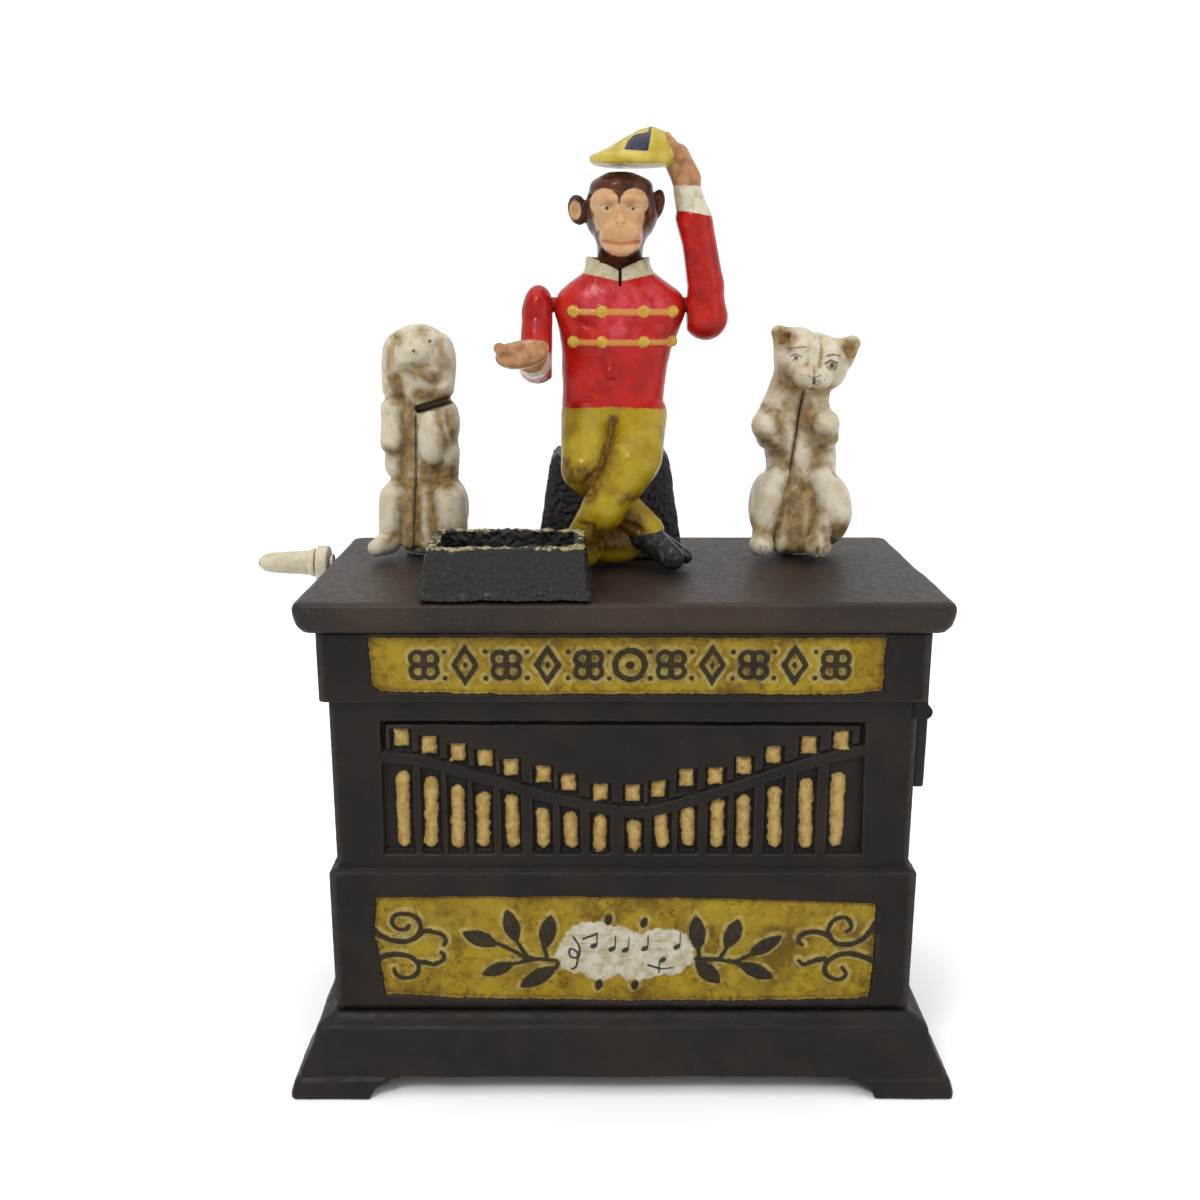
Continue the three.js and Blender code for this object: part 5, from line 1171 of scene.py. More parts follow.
def figure_bores(F, x0):
    F.cut(cyl((x0, 15, 100), 2, 2.4, 19, 0.05))
    F.cut(cyl((x0 - 20, 17, 125), 0, 1.2, 40, 0.02))
    F.cut(cyl((x0 - 20, 17, 125), 0, 2.25, 14.0, 0.05))
    F.cut(cyl((x0 + 6.0, 17, 125), 0, 2.25, 14.0, 0.05))
    F.keep(lambda X, Y, Z: 105.8 - Z + 0 * X + 0 * Y)
    return F


dog = figure_field(-44.5, [
    (capsule((0, 2, 9), (0, 1.6, 30), 6.6, 6.0), 0), (egg((0, 1, 27.5), (7.0, 5.4, 7.0)), 1.0), (egg((0, 4.8, 8), (7.2, 7, 7.5)), 1.5),
    (egg((-5.4, 0.5, 19.6), (2.8, 4.4, 3.0)), 1.0), (egg((5.6, 0.5, 19.0), (2.6, 4.4, 3.4)), 1.0),
    # hind legs and feet
    (egg((-5.8, -0.2, 10.2), (3.9, 7.4, 6.8)), 1.2), (egg((6.0, -0.2, 10.4), (4.2, 7.6, 6.8)), 1.2),
    (capsule((-6.2, -4.6, 13.4), (-6.5, -5.2, 6.4), 2.8, 2.9), 1.4), (capsule((6.3, -4.6, 13.0), (6.7, -5.0, 6.6), 3.6, 3.6), 1.4),
    (capsule((-2.2, -4.8, 14.2), (-2.3, -6.4, 3.6), 1.6, 2.0), 1.0), (capsule((1.1, -4.8, 13.8), (1.7, -6.6, 3.6), 1.5, 2.0), 1.0),
    (capsule((-7.2, -6.4, 3.6), (-9.3, -10.4, 3.0), 2.7, 1.9), 0.8), (capsule((6.6, -6.4, 3.4), (7.9, -10.6, 2.9), 2.6, 2.0), 0.8),
    # neck, head, ears and chin
    (capsule((0, 1, 31), (0, 0.6, 38), 5.6, 5.4), 1.2), (egg((0.05, 0.2, 43.6), (7.3, 7.3, 7.3)), 1.0),
    (egg((-5.7, -0.4, 41.2), (2.3, 4.8, 6.9)), 1.8), (egg((5.75, -0.4, 41.4), (2.35, 4.8, 6.9)), 1.8),
    (capsule((-5.6, -2.2, 41), (-5.4, -3.0, 37.0), 2.2, 2.4), 0.6), (capsule((5.8, -2.2, 41), (5.7, -3.0, 37.4), 2.2, 2.3), 0.6),
    (capsule((-0.4, -3.4, 37.4), (4.4, -3.0, 37.2), 2.9, 2.6), 1.4), (egg((1.0, -4.4, 40.2), (4.1, 2.9, 3.2)), 1.2),
    (egg((-0.6, -5.8, 44.9), (3.9, 3.2, 3.8)), 0.8), (egg((-0.3, -8.6, 45.4), (1.3, 0.8, 0.9)), 0.4), (capsule((-3.4, -3.9, 48.6), (-0.6, -5.4, 48.4), 1.2, 1.2), 1.4), (capsule((1.4, -5.2, 48.0), (3.6, -4.0, 47.9), 1.2, 1.2), 1.4),
    # forelegs
    (capsule((-5.7, -2.6, 31.6), (-5.8, -4.2, 25.4), 2.6, 2.7), 1.2), (egg((-5.7, -2.8, 33.0), (2.6, 2.8, 2.2)), 1.0),
    (egg((2.9, -4.6, 26.6), (3.2, 2.7, 6.2)), 0.8), (egg((6.2, -2.0, 29.6), (2.7, 4.0, 5.2)), 1.0), (egg((6.3, -1.6, 22.8), (2.3, 3.4, 3.6)), 1.6), (egg((-5.2, 0.0, 22.5), (3.0, 4.6, 4.6)), 1.6),
    (capsule((0, 9, 3.6), (0, 12.4, 8), 2.2, 1.6), 1.0), (egg((0, 4.5, 27), (6.4, 5.6, 9)), 2.0),
])
dog.cut(shifted(block((3.4, -5.9, 33.7), (4.0, 3.8, 0.75), 0.4, (0, -16, 0)), -44.5, 15, 105), 0.3)
dog.cut(shifted(capsule((-3.2, -8.2, 41.6), (3.6, -7.8, 42.0), 0.8, 0.8), -44.5, 15, 105), 1.0)
dog.cut(shifted(capsule((-4.6, -6.6, 48.4), (-3.0, -7.6, 47.6), 0.38, 0.3), -44.5, 15, 105), 0.3)
dog.cut(shifted(capsule((-4.4, -7.4, 40.4), (-4.1, -7.4, 37.0), 0.7, 1.0), -44.5, 15, 105), 1.0)
figure_bores(dog, -44.5)


def dog_marks(L, N):
    seam = np.abs(L[:, 0] - np.interp(L[:, 2], [0, 2.8, 32.7, 60], [-1.4, -1.4, -0.4, -0.2])) - np.interp(L[:, 2], [0, 31, 34, 60], [0.45, 0.35, -2, -2])
    seam = np.where(L[:, 1] < 4, seam, seam + 0.5)
    # painted shade round the gap under the chin, in the seam's brown
    seam = np.minimum(seam, np.where(L[:, 1] < -2.4, block((3.4, -5.9, 33.7), (4.0, 3.8, 0.75), 0.4, (0, -16, 0))[0](L[:, 0], L[:, 1], L[:, 2]) - 0.35, 9.0))
    # stains together with painted shade: along and between the legs, along the mouth, under the chin and in the closed
    # eye's crease
    stain_and_shade = strokes(L, [((-1.6, 33.4), (-1.9, 20), 0.9), ((-3.3, 32), (-3.1, 24), 0.35), ((-3.0, 22), (-3.9, 17.4), 1.1), ((1.2, 19.4), (7.2, 18.4), 1.3), ((1.0, 17.4), (6.4, 16.4), 1.0), ((4.0, 18.6), (5.2, 17.6), 1.7),
                        ((-1.5, 16), (-1.5, 3), 1.9), ((2.4, 14.4), (3.0, 4), 0.7), ((-4.0, 13.6), (-4.3, 3), 0.25), ((-4.7, 39.2), (-4.1, 35.6), 1.3), ((0.4, 41.0), (4.4, 39.6), 0.8), ((0.2, 36.2), (5.8, 35.6), 0.9),
                        ((-5.6, 45.6), (-5.8, 41), 0.15), ((5.4, 46.6), (5.8, 42), 0.15), ((-4.8, 48.7), (-3.5, 47.9), 0.30), ((1.2, 49.6), (2.2, 48.8), 0.1), ((-2.6, 41.4), (0.6, 40.8), 0.2), ((6.6, 32.5), (7.6, 26.4), 0.5), ((4.9, 31.6), (6.0, 24), 0.25), ((-6.9, 24.2), (-4.4, 23.4), 0.3), ((5.2, 6.2), (8.6, 6.0), 0.8), ((-6.4, 4.6), (-5.0, 6.4), 0.4)], 2.0)
    eye = spots(L, [(0.25, 45.5, 0.36), (3.3, 47.4, 0.36)], -3.5)
    eye = np.minimum(eye, strokes(L, [((-4.3, 48.3), (-3.5, 47.9), 0.08)], -3.0))
    # painted shade: the gap under the chin filled near black
    eye = np.minimum(eye, np.where(L[:, 1] < -2.0, block((3.4, -5.9, 33.7), (4.0, 3.8, 0.75), 0.4, (0, -16, 0))[0](L[:, 0], L[:, 1], L[:, 2]) - 0.10, 9.0))
    return {"seam": seam, "stain_and_shade": stain_and_shade, "eye": eye, "pink": np.full(len(L), 9.0)}


halves("dog", dog, -44.5, [(0, -1.4), (2.8, -1.4), (32.7, -0.4), (60, -0.2)], [(0, 0.03), (31, 0.03), (34, -0.14), (60, -0.14)], M_DOG, 51, dog_marks, "dog")

cat = figure_field(40.5, [
    (capsule((-0.8, 2, 10), (-1.9, 1.6, 27), 6.8, 6.2), 0), (egg((-2.1, 0.6, 27.4), (7.0, 5.4, 6.2)), 1.2), (egg((0, 4.8, 8), (7.4, 7, 7.5)), 1.5), (egg((-1.4, 4.2, 27), (6.4, 5.6, 9)), 2.0),
    (capsule((-7.0, -1.0, 31.4), (-8.6, -3.0, 29.4), 3.1, 3.2), 1.4), (egg((-9.2, -4.8, 29.0), (2.8, 2.9, 2.9)), 0.9),
    (capsule((2.8, -1.2, 31.0), (4.2, -3.2, 29.4), 3.0, 3.3), 1.4), (egg((3.9, -5.0, 29.6), (3.1, 2.9, 3.0)), 0.9),
    (egg((-7.2, -2.2, 26.4), (3.4, 3.6, 2.9)), 1.2), (egg((3.6, -2.4, 26.4), (4.0, 3.6, 2.9)), 1.2), (egg((-1.0, 1.0, 21.0), (6.6, 5.8, 8.0)), 1.5), (egg((3.4, 1.4, 20.6), (4.6, 5.4, 8.0)), 1.5),
    (capsule((-6.3, 0.6, 33.4), (-3.4, 0, 39.5), 2.8, 3.6), 1.6), (capsule((0, 1, 30), (0.8, 0.4, 38), 5.4, 5.0), 1.5),
    (egg((-1.7, -0.8, 43.4), (5.4, 6.2, 6.8)), 0.9), (egg((4.0, -0.8, 42.2), (5.3, 6.0, 5.9)), 0.8), (egg((2.0, 2.0, 43), (6.4, 5.4, 6)), 1.2),
    (egg((-0.9, -5.6, 39.8), (2.6, 2.5, 2.7)), 0.7), (egg((2.4, -5.6, 39.6), (2.5, 2.5, 2.6)), 0.7), (capsule((0.5, -6.6, 42.2), (1.0, -5.8, 46.0), 1.1, 1.2), 0.8),
    (capsule((-4.6, -0.6, 46.4), (-6.4, 0.0, 48.9), 2.9, 1.4), 0.9), (capsule((-3.2, -0.6, 48.2), (-6.0, 0.0, 49.4), 1.8, 1.2), 0.9),
    (capsule((8.0, -0.6, 44.0), (10.6, 0.0, 46.6), 2.9, 1.4), 0.9), (capsule((6.6, -0.4, 46.0), (10.0, 0.0, 47.2), 1.7, 1.2), 0.9),
    # thighs, shins and paws
    (egg((-7.4, -0.4, 10.6), (4.2, 7.8, 8.0)), 1.2), (egg((6.0, -0.6, 10.0), (5.4, 8.0, 8.2)), 1.2),
    (capsule((-6.0, -4.2, 17.2), (-8.5, -5.4, 9.4), 2.7, 3.4), 1.4), (capsule((3.9, -4.4, 17.4), (6.7, -5.2, 9.6), 2.6, 3.9), 1.4),
    (capsule((-8.9, -6.6, 7.6), (-9.5, -8.6, 4.2), 2.4, 2.3), 0.7), (egg((-9.7, -9.4, 3.5), (2.7, 3.8, 2.4)), 0.6),
    (capsule((4.4, -6.8, 8.6), (3.0, -8.8, 4.4), 2.2, 2.4), 0.6), (egg((2.6, -9.8, 3.3), (3.1, 3.8, 2.5)), 0.6),
    (capsule((-4.6, -4.8, 13), (-5.0, -5.8, 3), 1.6, 2.0), 0.9), (capsule((-1.8, -4.6, 14.4), (-2.0, -5.8, 3), 1.6, 2.0), 0.9), (capsule((0.8, -4.6, 13), (0.6, -5.8, 3), 1.6, 1.8), 0.9),
    (capsule((0, 9, 3.6), (-2, 12.4, 8), 2.2, 1.6), 1.0),
])
for shape, k in ((egg((-5.3, -2.6, 48.0), (1.9, 1.5, 1.5), (0, 30, 0)), 0.6), (egg((9.2, -2.6, 45.3), (2.0, 1.5, 1.7), (0, -30, 0)), 0.6), (capsule((1.0, -9.2, 39.6), (1.0, -8.2, 37.6), 0.3, 0.3), 0.5),
                 (capsule((-3.4, -7.6, 44.0), (-2.6, -7.8, 44.0), 0.6), 0.9), (capsule((4.3, -7.4, 42.4), (5.0, -7.4, 42.3), 0.6), 0.9),
                 (capsule((1.9, -13.6, 4.2), (2.1, -12.6, 2.0), 0.3), 0.5), (capsule((3.5, -13.6, 4.2), (3.5, -12.6, 2.0), 0.3), 0.5), (capsule((-10.4, -13.2, 4.2), (-10.2, -12.4, 2.0), 0.3), 0.5), (capsule((-9.0, -13.2, 4.2), (-9.0, -12.4, 2.0), 0.3), 0.5)):
    cat.cut(shifted(shape, 40.5, 15, 105), k)
figure_bores(cat, 40.5)
CAT_SEAM = [(0, -3.4), (20, -3.2), (30, -1.9), (35.8, -1.0), (50.3, 1.9), (60, 1.9)]


def cat_marks(L, N):
    s = np.interp(L[:, 2], [p[0] for p in CAT_SEAM], [p[1] for p in CAT_SEAM])
    seam = np.abs(L[:, 0] - s) - np.interp(L[:, 2], [0, 16, 20, 36, 38, 60], [-1.5, -1.0, 0.55, 0.6, -0.5, -0.5])
    # stains together with painted shade: between the legs, under the arms and chin, round the feet
    stain_and_shade = strokes(L, [((-2.6, 18.6), (-5.6, 9.5), 0.9), ((-5.6, 9.5), (-6.2, 5), 0.7), ((-2.6, 18.6), (2.4, 10.5), 0.9), ((2.4, 10.5), (1.4, 4), 0.8), ((-2.3, 14), (-2.2, 3), 1.7), ((-10.4, 26.6), (-6.6, 24.8), 0.7), ((-6.4, 31.4), (-5.6, 26.4), 0.6),
                        ((1.0, 31), (1.4, 26), 0.5), ((1.8, 26.2), (6.6, 26.2), 0.8), ((3.6, 25), (2.6, 21), 1.0), ((-5.2, 22.8), (-3.8, 20.4), 1.0), ((-5.4, 38.2), (-2.2, 36.8), 0.8), ((1.8, 36), (4.8, 36.6), 0.8), ((-1.2, 34.5), (-2.2, 30), 0.9), ((0.2, 34.4), (-0.6, 29), 1.1),
                        ((6.8, 6.6), (11, 5.2), 1.5), ((4.6, 5.0), (7.2, 3.4), 1.0), ((-10.8, 7.2), (-7.8, 6.4), 0.6), ((1.8, 7.2), (5.4, 6.6), 0.6), ((-9.6, 33.4), (-7.8, 32.6), 0.3), ((-5.4, 41.0), (-4.2, 39.4), 0.5)], 2.0)
    # the ear hollows darkened with the same brown, stain together with painted shade
    stain_and_shade = np.minimum(stain_and_shade, spots(L, [(-5.3, 48.0, 1.9), (9.2, 45.4, 2.0)], -0.6))
    eye = spots(L, [(-3.1, 43.9, 0.45), (4.65, 42.3, 0.58)], -3.5)
    eye = np.minimum(eye, strokes(L, [((-4.8, 45.8), (-3.0, 46.1), 0.12), ((-3.0, 46.1), (-0.9, 46.2), 0.14), ((3.5, 44.3), (5.0, 44.6), 0.20), ((5.0, 44.6), (6.5, 44.3), 0.16),
                                      ((-4.2, 44.3), (-3.2, 44.75), 0.17), ((-3.2, 44.75), (-2.0, 44.2), 0.14), ((-3.9, 43.4), (-2.7, 43.2), 0.08), ((3.2, 42.7), (4.3, 43.35), 0.22), ((4.3, 43.35), (5.9, 42.8), 0.24), ((5.9, 42.8), (5.4, 41.5), 0.18), ((3.5, 42.1), (4.2, 41.4), 0.10), ((4.2, 41.4), (5.4, 41.4), 0.14),
                                      ((0.7, 41.4), (0.8, 39.6), 0.12), ((0.7, 39.6), (0.8, 38.6), 0.36), ((-0.5, 40.2), (0.6, 39.6), 0.14), ((0.8, 39.7), (2.0, 40.3), 0.13), ((0.9, 38.9), (2.0, 39.3), 0.13), ((2.4, 38.9), (1.4, 38.2), 0.10)], -3.5))
    eye = np.minimum(eye, spots(L, [(-1.2, 39.6, 0.15), (-1.9, 40.3, 0.13), (3.0, 39.4, 0.15), (3.6, 40.1, 0.13)], -3.5))
    pink = spots(L, [(0.8, 42.0, 0.55)], -4)
    return {"seam": seam, "stain_and_shade": stain_and_shade, "eye": eye, "pink": pink}


halves("cat", cat, 40.5, CAT_SEAM, [(0, -0.14), (17, -0.14), (20, 0.06), (30, 0.10), (35.5, 0.06), (37.5, -0.14), (60, -0.14)], M_CAT, 61, cat_marks, "cat")


# ---------------------------------------------------------------- the monkey
coat = ovals([(-2.0, 8.6, 10.7, 8.6, 137.4), (-2.0, 8.5, 10.9, 8.7, 139.2), (-1.8, 8.3, 10.9, 8.4, 142), (-1.65, 8.2, 11.2, 8.4, 146), (-1.2, 8.2, 11.7, 8.6, 150.5), (-0.6, 8.2, 13.0, 8.7, 155.5), (-0.5, 8.2, 13.9, 8.3, 159.2), (-0.6, 8.2, 13.0, 7.7, 162.0), (-0.8, 8.2, 10.2, 7.0, 164.6), (-0.8, 8.0, 7.6, 6.6, 166.6), (-0.7, 7.9, 6.4, 6.2, 168.6)], 2.5)
hips = ovals([(-1.8, 9, 8.6, 6.4, 128.9), (-1.9, 8.7, 10.4, 7.8, 132.5), (-1.9, 8.5, 10.4, 8.1, 138.6), (-1.8, 8.5, 9.5, 7.6, 141)], 2.2)
shoe_parts = [(capsule((5.0, -3.4, 112.6), (10.6, -6.2, 108.1), 3.2, 2.5), 0.3), (capsule((7.6, -2.8, 111.2), (13.6, -2.4, 107.7), 2.3, 1.6), 0.3)]
M = Field([-14.6, -13.8, 105.3], [15.6, 17.5, 187.2], 0.28)
M.add(hips)
M.add(capsule((-7.2, 5.6, 137), (-7.6, -3.2, 126.8), 5.8, 5.3), 1.2)
M.add(capsule((4.2, 5.6, 137), (2.6, -4.6, 129.4), 5.5, 5.7), 1.0)
M.add(egg((-2.0, 2.0, 127.0), (7, 5, 7)), 1.0)
M.add(capsule((-6.0, -2.2, 124), (5.6, -3.2, 113.6), 4.3, 3.3), 0.9)
M.add(egg((-1.6, -1.2, 110.8), (6.8, 3.6, 4.8)), 0.8)
M.add(capsule((1.9, -6.2, 128.2), (-4.0, -8.2, 119.0), 5.5, 4.5), 0.55)
M.add(capsule((-4.0, -8.2, 119.0), (-8.4, -4.6, 112.4), 4.4, 3.5), 0.8)
M.add(egg((-8.0, -4.0, 109.4), (3.6, 3.8, 3.6)), 0.9)
for s, k in shoe_parts:
    M.add(s, k)
# creases round the knees and at the crotch
for a, b, ra, rb in (((-4.6, -8.4, 127.4), (-9.4, -7.6, 122.6), 0.5, 0.35), ((-1.8, -3.2, 136.2), (-2.6, -6.4, 130.4), 0.55, 0.4), ((-7.6, -9.2, 125.2), (-6.2, -10.0, 122.4), 0.5, 0.3), ((-1.6, -5.2, 116.0), (3.6, -6.4, 114.2), 0.9, 0.7)):
    M.cut(capsule(a, b, ra, rb), 0.9)
M.add(coat, 0.18)
M.add(capsule((-9.6, 8, 160.0), (-5.6, 8, 163.0), 4.1, 3.4), 1.0)
M.add(capsule((8.9, 8, 159.8), (5.2, 8, 162.8), 4.1, 3.4), 1.0)
# a crease under each side of the chest, and the belt line at the hem
M.cut(capsule((-9, -0.6, 150.2), (-5, -1.2, 149.6), 0.6, 0.4), 1.6)
M.cut(capsule((8, -0.4, 150.6), (4, -1.0, 149.8), 0.6, 0.4), 1.6)
for ca, cb, cr in (((-8.6, 0.2, 144.2), (-3.6, -1.2, 143.0), 0.45), ((6.8, 0.2, 144.8), (2.0, -1.2, 143.6), 0.45), ((-9.2, 0.6, 156.4), (-5.4, -1.0, 155.6), 0.4), ((8.4, 0.6, 156.2), (4.6, -1.0, 155.6), 0.4), ((-0.6, -1.6, 162.6), (-0.6, -1.4, 150.0), 0.3)):
    M.cut(capsule(ca, cb, cr, cr * 0.7), 1.3)
M.add(egg((-2.4, -0.1, 146.2), (1.3, 0.7, 1.3)), 0.5)
BUTTONS = [(x, z) for z in (158.8, 152.6) for x in (-10.3, -4.3, 4.4, 10.5)]
def chest_y(x, z):
    """The coat's front surface at (x, z)."""
    ys = np.linspace(-3, 6, 91)
    v = coat[0](np.float64(x), ys, np.float64(z))
    i = int(np.argmax(v < 0))
    return float(ys[i])
for bx, bz in BUTTONS:
    M.add(egg((bx, chest_y(bx, bz) + 0.1, bz), (1.25, 0.62, 1.2)), 0.25)
for z in (158.8, 152.6):
    for a, b in ((-10.3, -4.3), (-4.3, 4.4), (4.4, 10.5)):
        for j in range(5):
            u0, u1 = a + (b - a) * j / 5, a + (b - a) * (j + 1) / 5
            sag = lambda u: z - 0.35 * math.sin(math.pi * (u - a) / (b - a))
            M.add(capsule((u0, chest_y(u0, z) + 0.12, sag(u0)), (u1, chest_y(u1, z) + 0.12, sag(u1)), 0.34), 0.3)
# collar: a stand-up band with a slit in front
collar = ovals([(-0.9, 7.9, 8.6, 7.2, 163.6), (-0.9, 7.8, 7.7, 6.9, 165.4), (-1.0, 7.7, 6.9, 6.6, 167.6), (-1.0, 7.6, 6.7, 6.5, 169.9)], 2.1)
M.add(collar, 0.25)
M.cut(ovals([(-0.9, 7.5, 5.9, 5.7, 167.4), (-0.9, 7.4, 6.2, 6.0, 168.6), (-0.9, 7.2, 6.4, 6.3, 171.5)], 2.1), 0.2)
M.cut((lambda X, Y, Z: np.maximum(Y - 7, 167.1 - Z + 0.5 * np.abs(X + 0.9)) + 0 * X, [-9, -2, 166.5], [8, 7, 173]), 0.25)
M.cut(block((-0.55, 0.8, 166.3), (0.24, 2.2, 2.6), 0.1), 0.15)
# neck and head
M.add(capsule((-0.6, 8.6, 163), (-0.5, 8.0, 171), 4.9, 4.7), 0.3)
M.add(egg((-0.3, 8.4, 179.0), (7.7, 7.8, 7.5)), 0.9)
M.add(egg((-0.4, 4.9, 174.2), (5.2, 6.0, 5.3)), 1.6)
M.add(egg((-0.7, 3.3, 179.4), (6.1, 4.4, 5.0)), 1.0)
M.add(egg((-0.4, 0.9, 174.0), (4.3, 3.9, 4.3)), 0.9)
M.add(egg((-0.4, -1.2, 174.6), (3.9, 2.3, 2.5)), 0.8)
M.add(egg((-0.4, -0.7, 171.3), (3.5, 2.3, 1.8)), 0.5)
M.add(capsule((-0.6, -2.2, 177.6), (-0.6, -3.1, 176.2), 0.7, 0.95), 0.6)
M.add(capsule((-5.2, 0.9, 181.0), (-1.6, -1.0, 181.1), 1.0, 0.9), 0.7)
M.add(capsule((0.5, -1.0, 181.1), (4.0, 0.9, 181.0), 0.9, 1.0), 0.7)
M.add(ovals([(-0.4, 6.0, 6.8, 6.6, 182.0), (-0.4, 6.8, 5.2, 5.6, 185.4), (-0.6, 7.6, 2.6, 3.2, 186.6)], 2.0), 0.6)
for ex in (-3.35, 2.05):
    M.cut(egg((ex, -1.6, 179.3), (1.8, 1.4, 1.0)), 0.8)
    M.add(egg((ex, 0.2, 179.2), (1.0, 0.8, 0.6)), 0.4)
for a, b in (((-4.4, -0.6, 172.8), (-2.4, -2.9, 172.4)), ((-2.4, -2.9, 172.4), (-0.4, -3.5, 172.2)), ((-0.4, -3.5, 172.2), (1.6, -2.9, 172.4)), ((1.6, -2.9, 172.4), (3.6, -0.6, 172.8))):
    M.cut(capsule(a, b, 0.28), 0.35)
for ex in (-1.15, -0.05):
    M.cut(capsule((ex, -4.4, 175.9), (ex, -3.4, 176.1), 0.22), 0.2)
M.add(egg((-9.3, 8.3, 179.3), (2.1, 1.7, 3.1), (0, -12, 0)), 0.5)
M.cut(egg((-9.7, 6.5, 179.2), (1.2, 1.0, 2.0)), 0.4)
M.add(egg((7.3, 8.3, 180.5), (1.5, 1.9, 3.0), (0, 10, 0)), 0.5)
M.cut(egg((7.8, 6.4, 180.5), (0.8, 0.9, 1.8)), 0.4)
# clear of the hopper, the top plate, the seat and the arms; bored for the rod, the shaft and the fasteners
M.keep(lambda X, Y, Z: np.maximum(105.35 - Z, np.maximum(-14.4 - X, X - 13.4 - 2.0 * (Z < 118))) + 0 * Y)
M.cut(block((-22.5, -21.4, 108), (16.8, 12.8, 8.2), 0.2), 1.2)
M.cut(shifted(rows_field([(16.9, 10.5, 103), (16.5, 10.2, 107), (13.7, 8.9, 126.2), (12.9, 8.2, 128.7)], 1.6), -2.5, 16))
M.cut(cyl((-1.8, 12.5, 120), 2, 1.5, 38, 0.02))
M.cut(cyl((-8.7, 12.0, 120), 2, 1.7, 17.4, 0.02))
M.cut(block((-1.8, 10.2, 161.3), (1.6, 5.0, 4.7), 0.1))
M.cut(cyl((-30, 8, 160), 0, 1.75, 60, 0.02))
M.cut(cyl((2.7, 1.1, 148.5), 1, 1.15, 14.8, 0.02))


def monkey_marks(V, N):
    x, y, z = V.T
    side = np.abs(x + 0.5) / 7.0
    w = 0.16 * noise(V, 3.0, 91)
    hem = 138.7 + 0.55 * np.cos(np.clip((x + 2) / 11, -1.4, 1.4) * math.pi / 2) + w
    coat_d = hem - z
    top = np.full(len(x), 170.2)
    low = np.where(y < 6, 164.8 + 1.5 * np.minimum(side, 1.1), 166.0)
    collar_d = np.maximum(z - top, low - z)
    collar_d = np.maximum(collar_d, np.hypot(x + 0.6, y - 7.8) - 8.6)
    # fur: everything above the collar and everything inside it
    inner = np.hypot(x + 0.9, (y - 7.5) * 1.03) - 5.75 - 0.12 * (z - 167.4)
    fur = np.where(z > 166.6, np.where(z < 170.1, inner, -0.6), 9.0)
    fur = np.where((z > 168.4) & (y < 2.2), -0.6, fur)
    # heart-shaped bare face: two brow lobes, cheeks and the muzzle
    face = np.minimum(np.hypot((x + 3.9) / 1.05, z - 180.3) - 2.75, np.hypot((x - 2.3) / 1.05, z - 180.3) - 2.75)
    face = np.minimum(face, np.maximum(np.abs(x + 0.8) - 5.3 + 0.25 * np.abs(z - 177.5), np.abs(z - 177.4) - 2.6))
    face = np.minimum(face, np.hypot((x + 0.45) / 1.12, (z - 174.0) / 1.08) - 3.95)
    face = np.where(y < 5.2, face, 9.0)
    ear = np.where((np.abs(x + 9.7) < 3) & (y < 7.6), np.hypot((x + 9.9) / 1.25, (z - 179.1) / 1.9) - 1.0, 9.0)
    face = np.minimum(face, ear)
    eye = spots(V, [(-3.3, 179.2, 0.42), (2.0, 179.1, 0.36)], 3)
    eye = np.minimum(eye, strokes(V, [((-4.6, 179.7), (-3.4, 180.0), 0.10), ((-3.4, 180.0), (-2.3, 179.6), 0.10), ((0.9, 179.5), (2.0, 179.8), 0.09), ((2.0, 179.8), (3.1, 179.3), 0.09)], 3))
    white = np.where(y < 3, np.minimum(np.hypot((x + 3.35) / 1.5, z - 179.2), np.hypot((x - 2.05) / 1.5, z - 179.1)) - 0.85, 9)
    lips = strokes(V, [((-4.3, 172.8), (-2.4, 172.4), 0.30), ((-2.4, 172.4), (-0.4, 172.2), 0.34), ((-0.4, 172.2), (1.6, 172.4), 0.34), ((1.6, 172.4), (3.5, 172.8), 0.30)], 3)
    # the slit in the collar is painted dark as painted shade in the gap
    slit = np.where(y < 3.5, seg2(x, z, (-0.55, 164.4), (-0.5, 168.4), 0.30), 9)
    button = spots(V, [(bx, bz, 1.22) for bx, bz in BUTTONS], 6)
    braid = strokes(V, [((a, zz), (b, zz - 0.1), 0.62) for zz in (158.75, 152.55) for a, b in ((-10.3, -4.3), (-4.3, 4.4), (4.4, 10.5))], 6)
    shoe = np.minimum(*[s[0](x, y, z) for s, _ in shoe_parts]) - 0.45
    shoe = np.maximum(shoe, z - (113.1 + 0.18 * (x - 4)))
    # stains together with painted shade along the creases, at the knees and between the feet
    soil_and_shade = np.minimum(strokes(V, [((-10.4, 125.4), (-6.4, 123.6), 0.8), ((-8.2, 126.6), (-6.6, 125.2), 1.1), ((-2.0, 136.0), (-2.6, 131), 0.5), ((-2.6, 131), (-5.4, 125.6), 0.7), ((-7.6, 121.6), (-6.0, 122.6), 0.4),
                               ((-4.6, 112.2), (2.6, 112.6), 2.8), ((1.2, 117.6), (3.4, 114.6), 1.0), ((0.4, 121.2), (2.6, 121.8), 0.5), ((-12.0, 128.6), (-10.6, 126.4), 0.4)], 9), 9)
    # painted highlight patches on the chest
    painted_sheen = np.minimum(spots(V, [(-6, 162.0, 2.0), (0.5, 160.6, 2.6), (6.4, 161.4, 1.8), (-1.0, 155.6, 2.4), (-4, 163.2, 1.4)], 6), 9)
    return {"coat": coat_d, "collar": collar_d, "fur": fur, "face": face, "eye": eye, "white": white, "lips": lips, "slit": slit, "button": button, "braid": braid, "shoe": shoe, "soil_and_shade": soil_and_shade, "painted_sheen": painted_sheen}


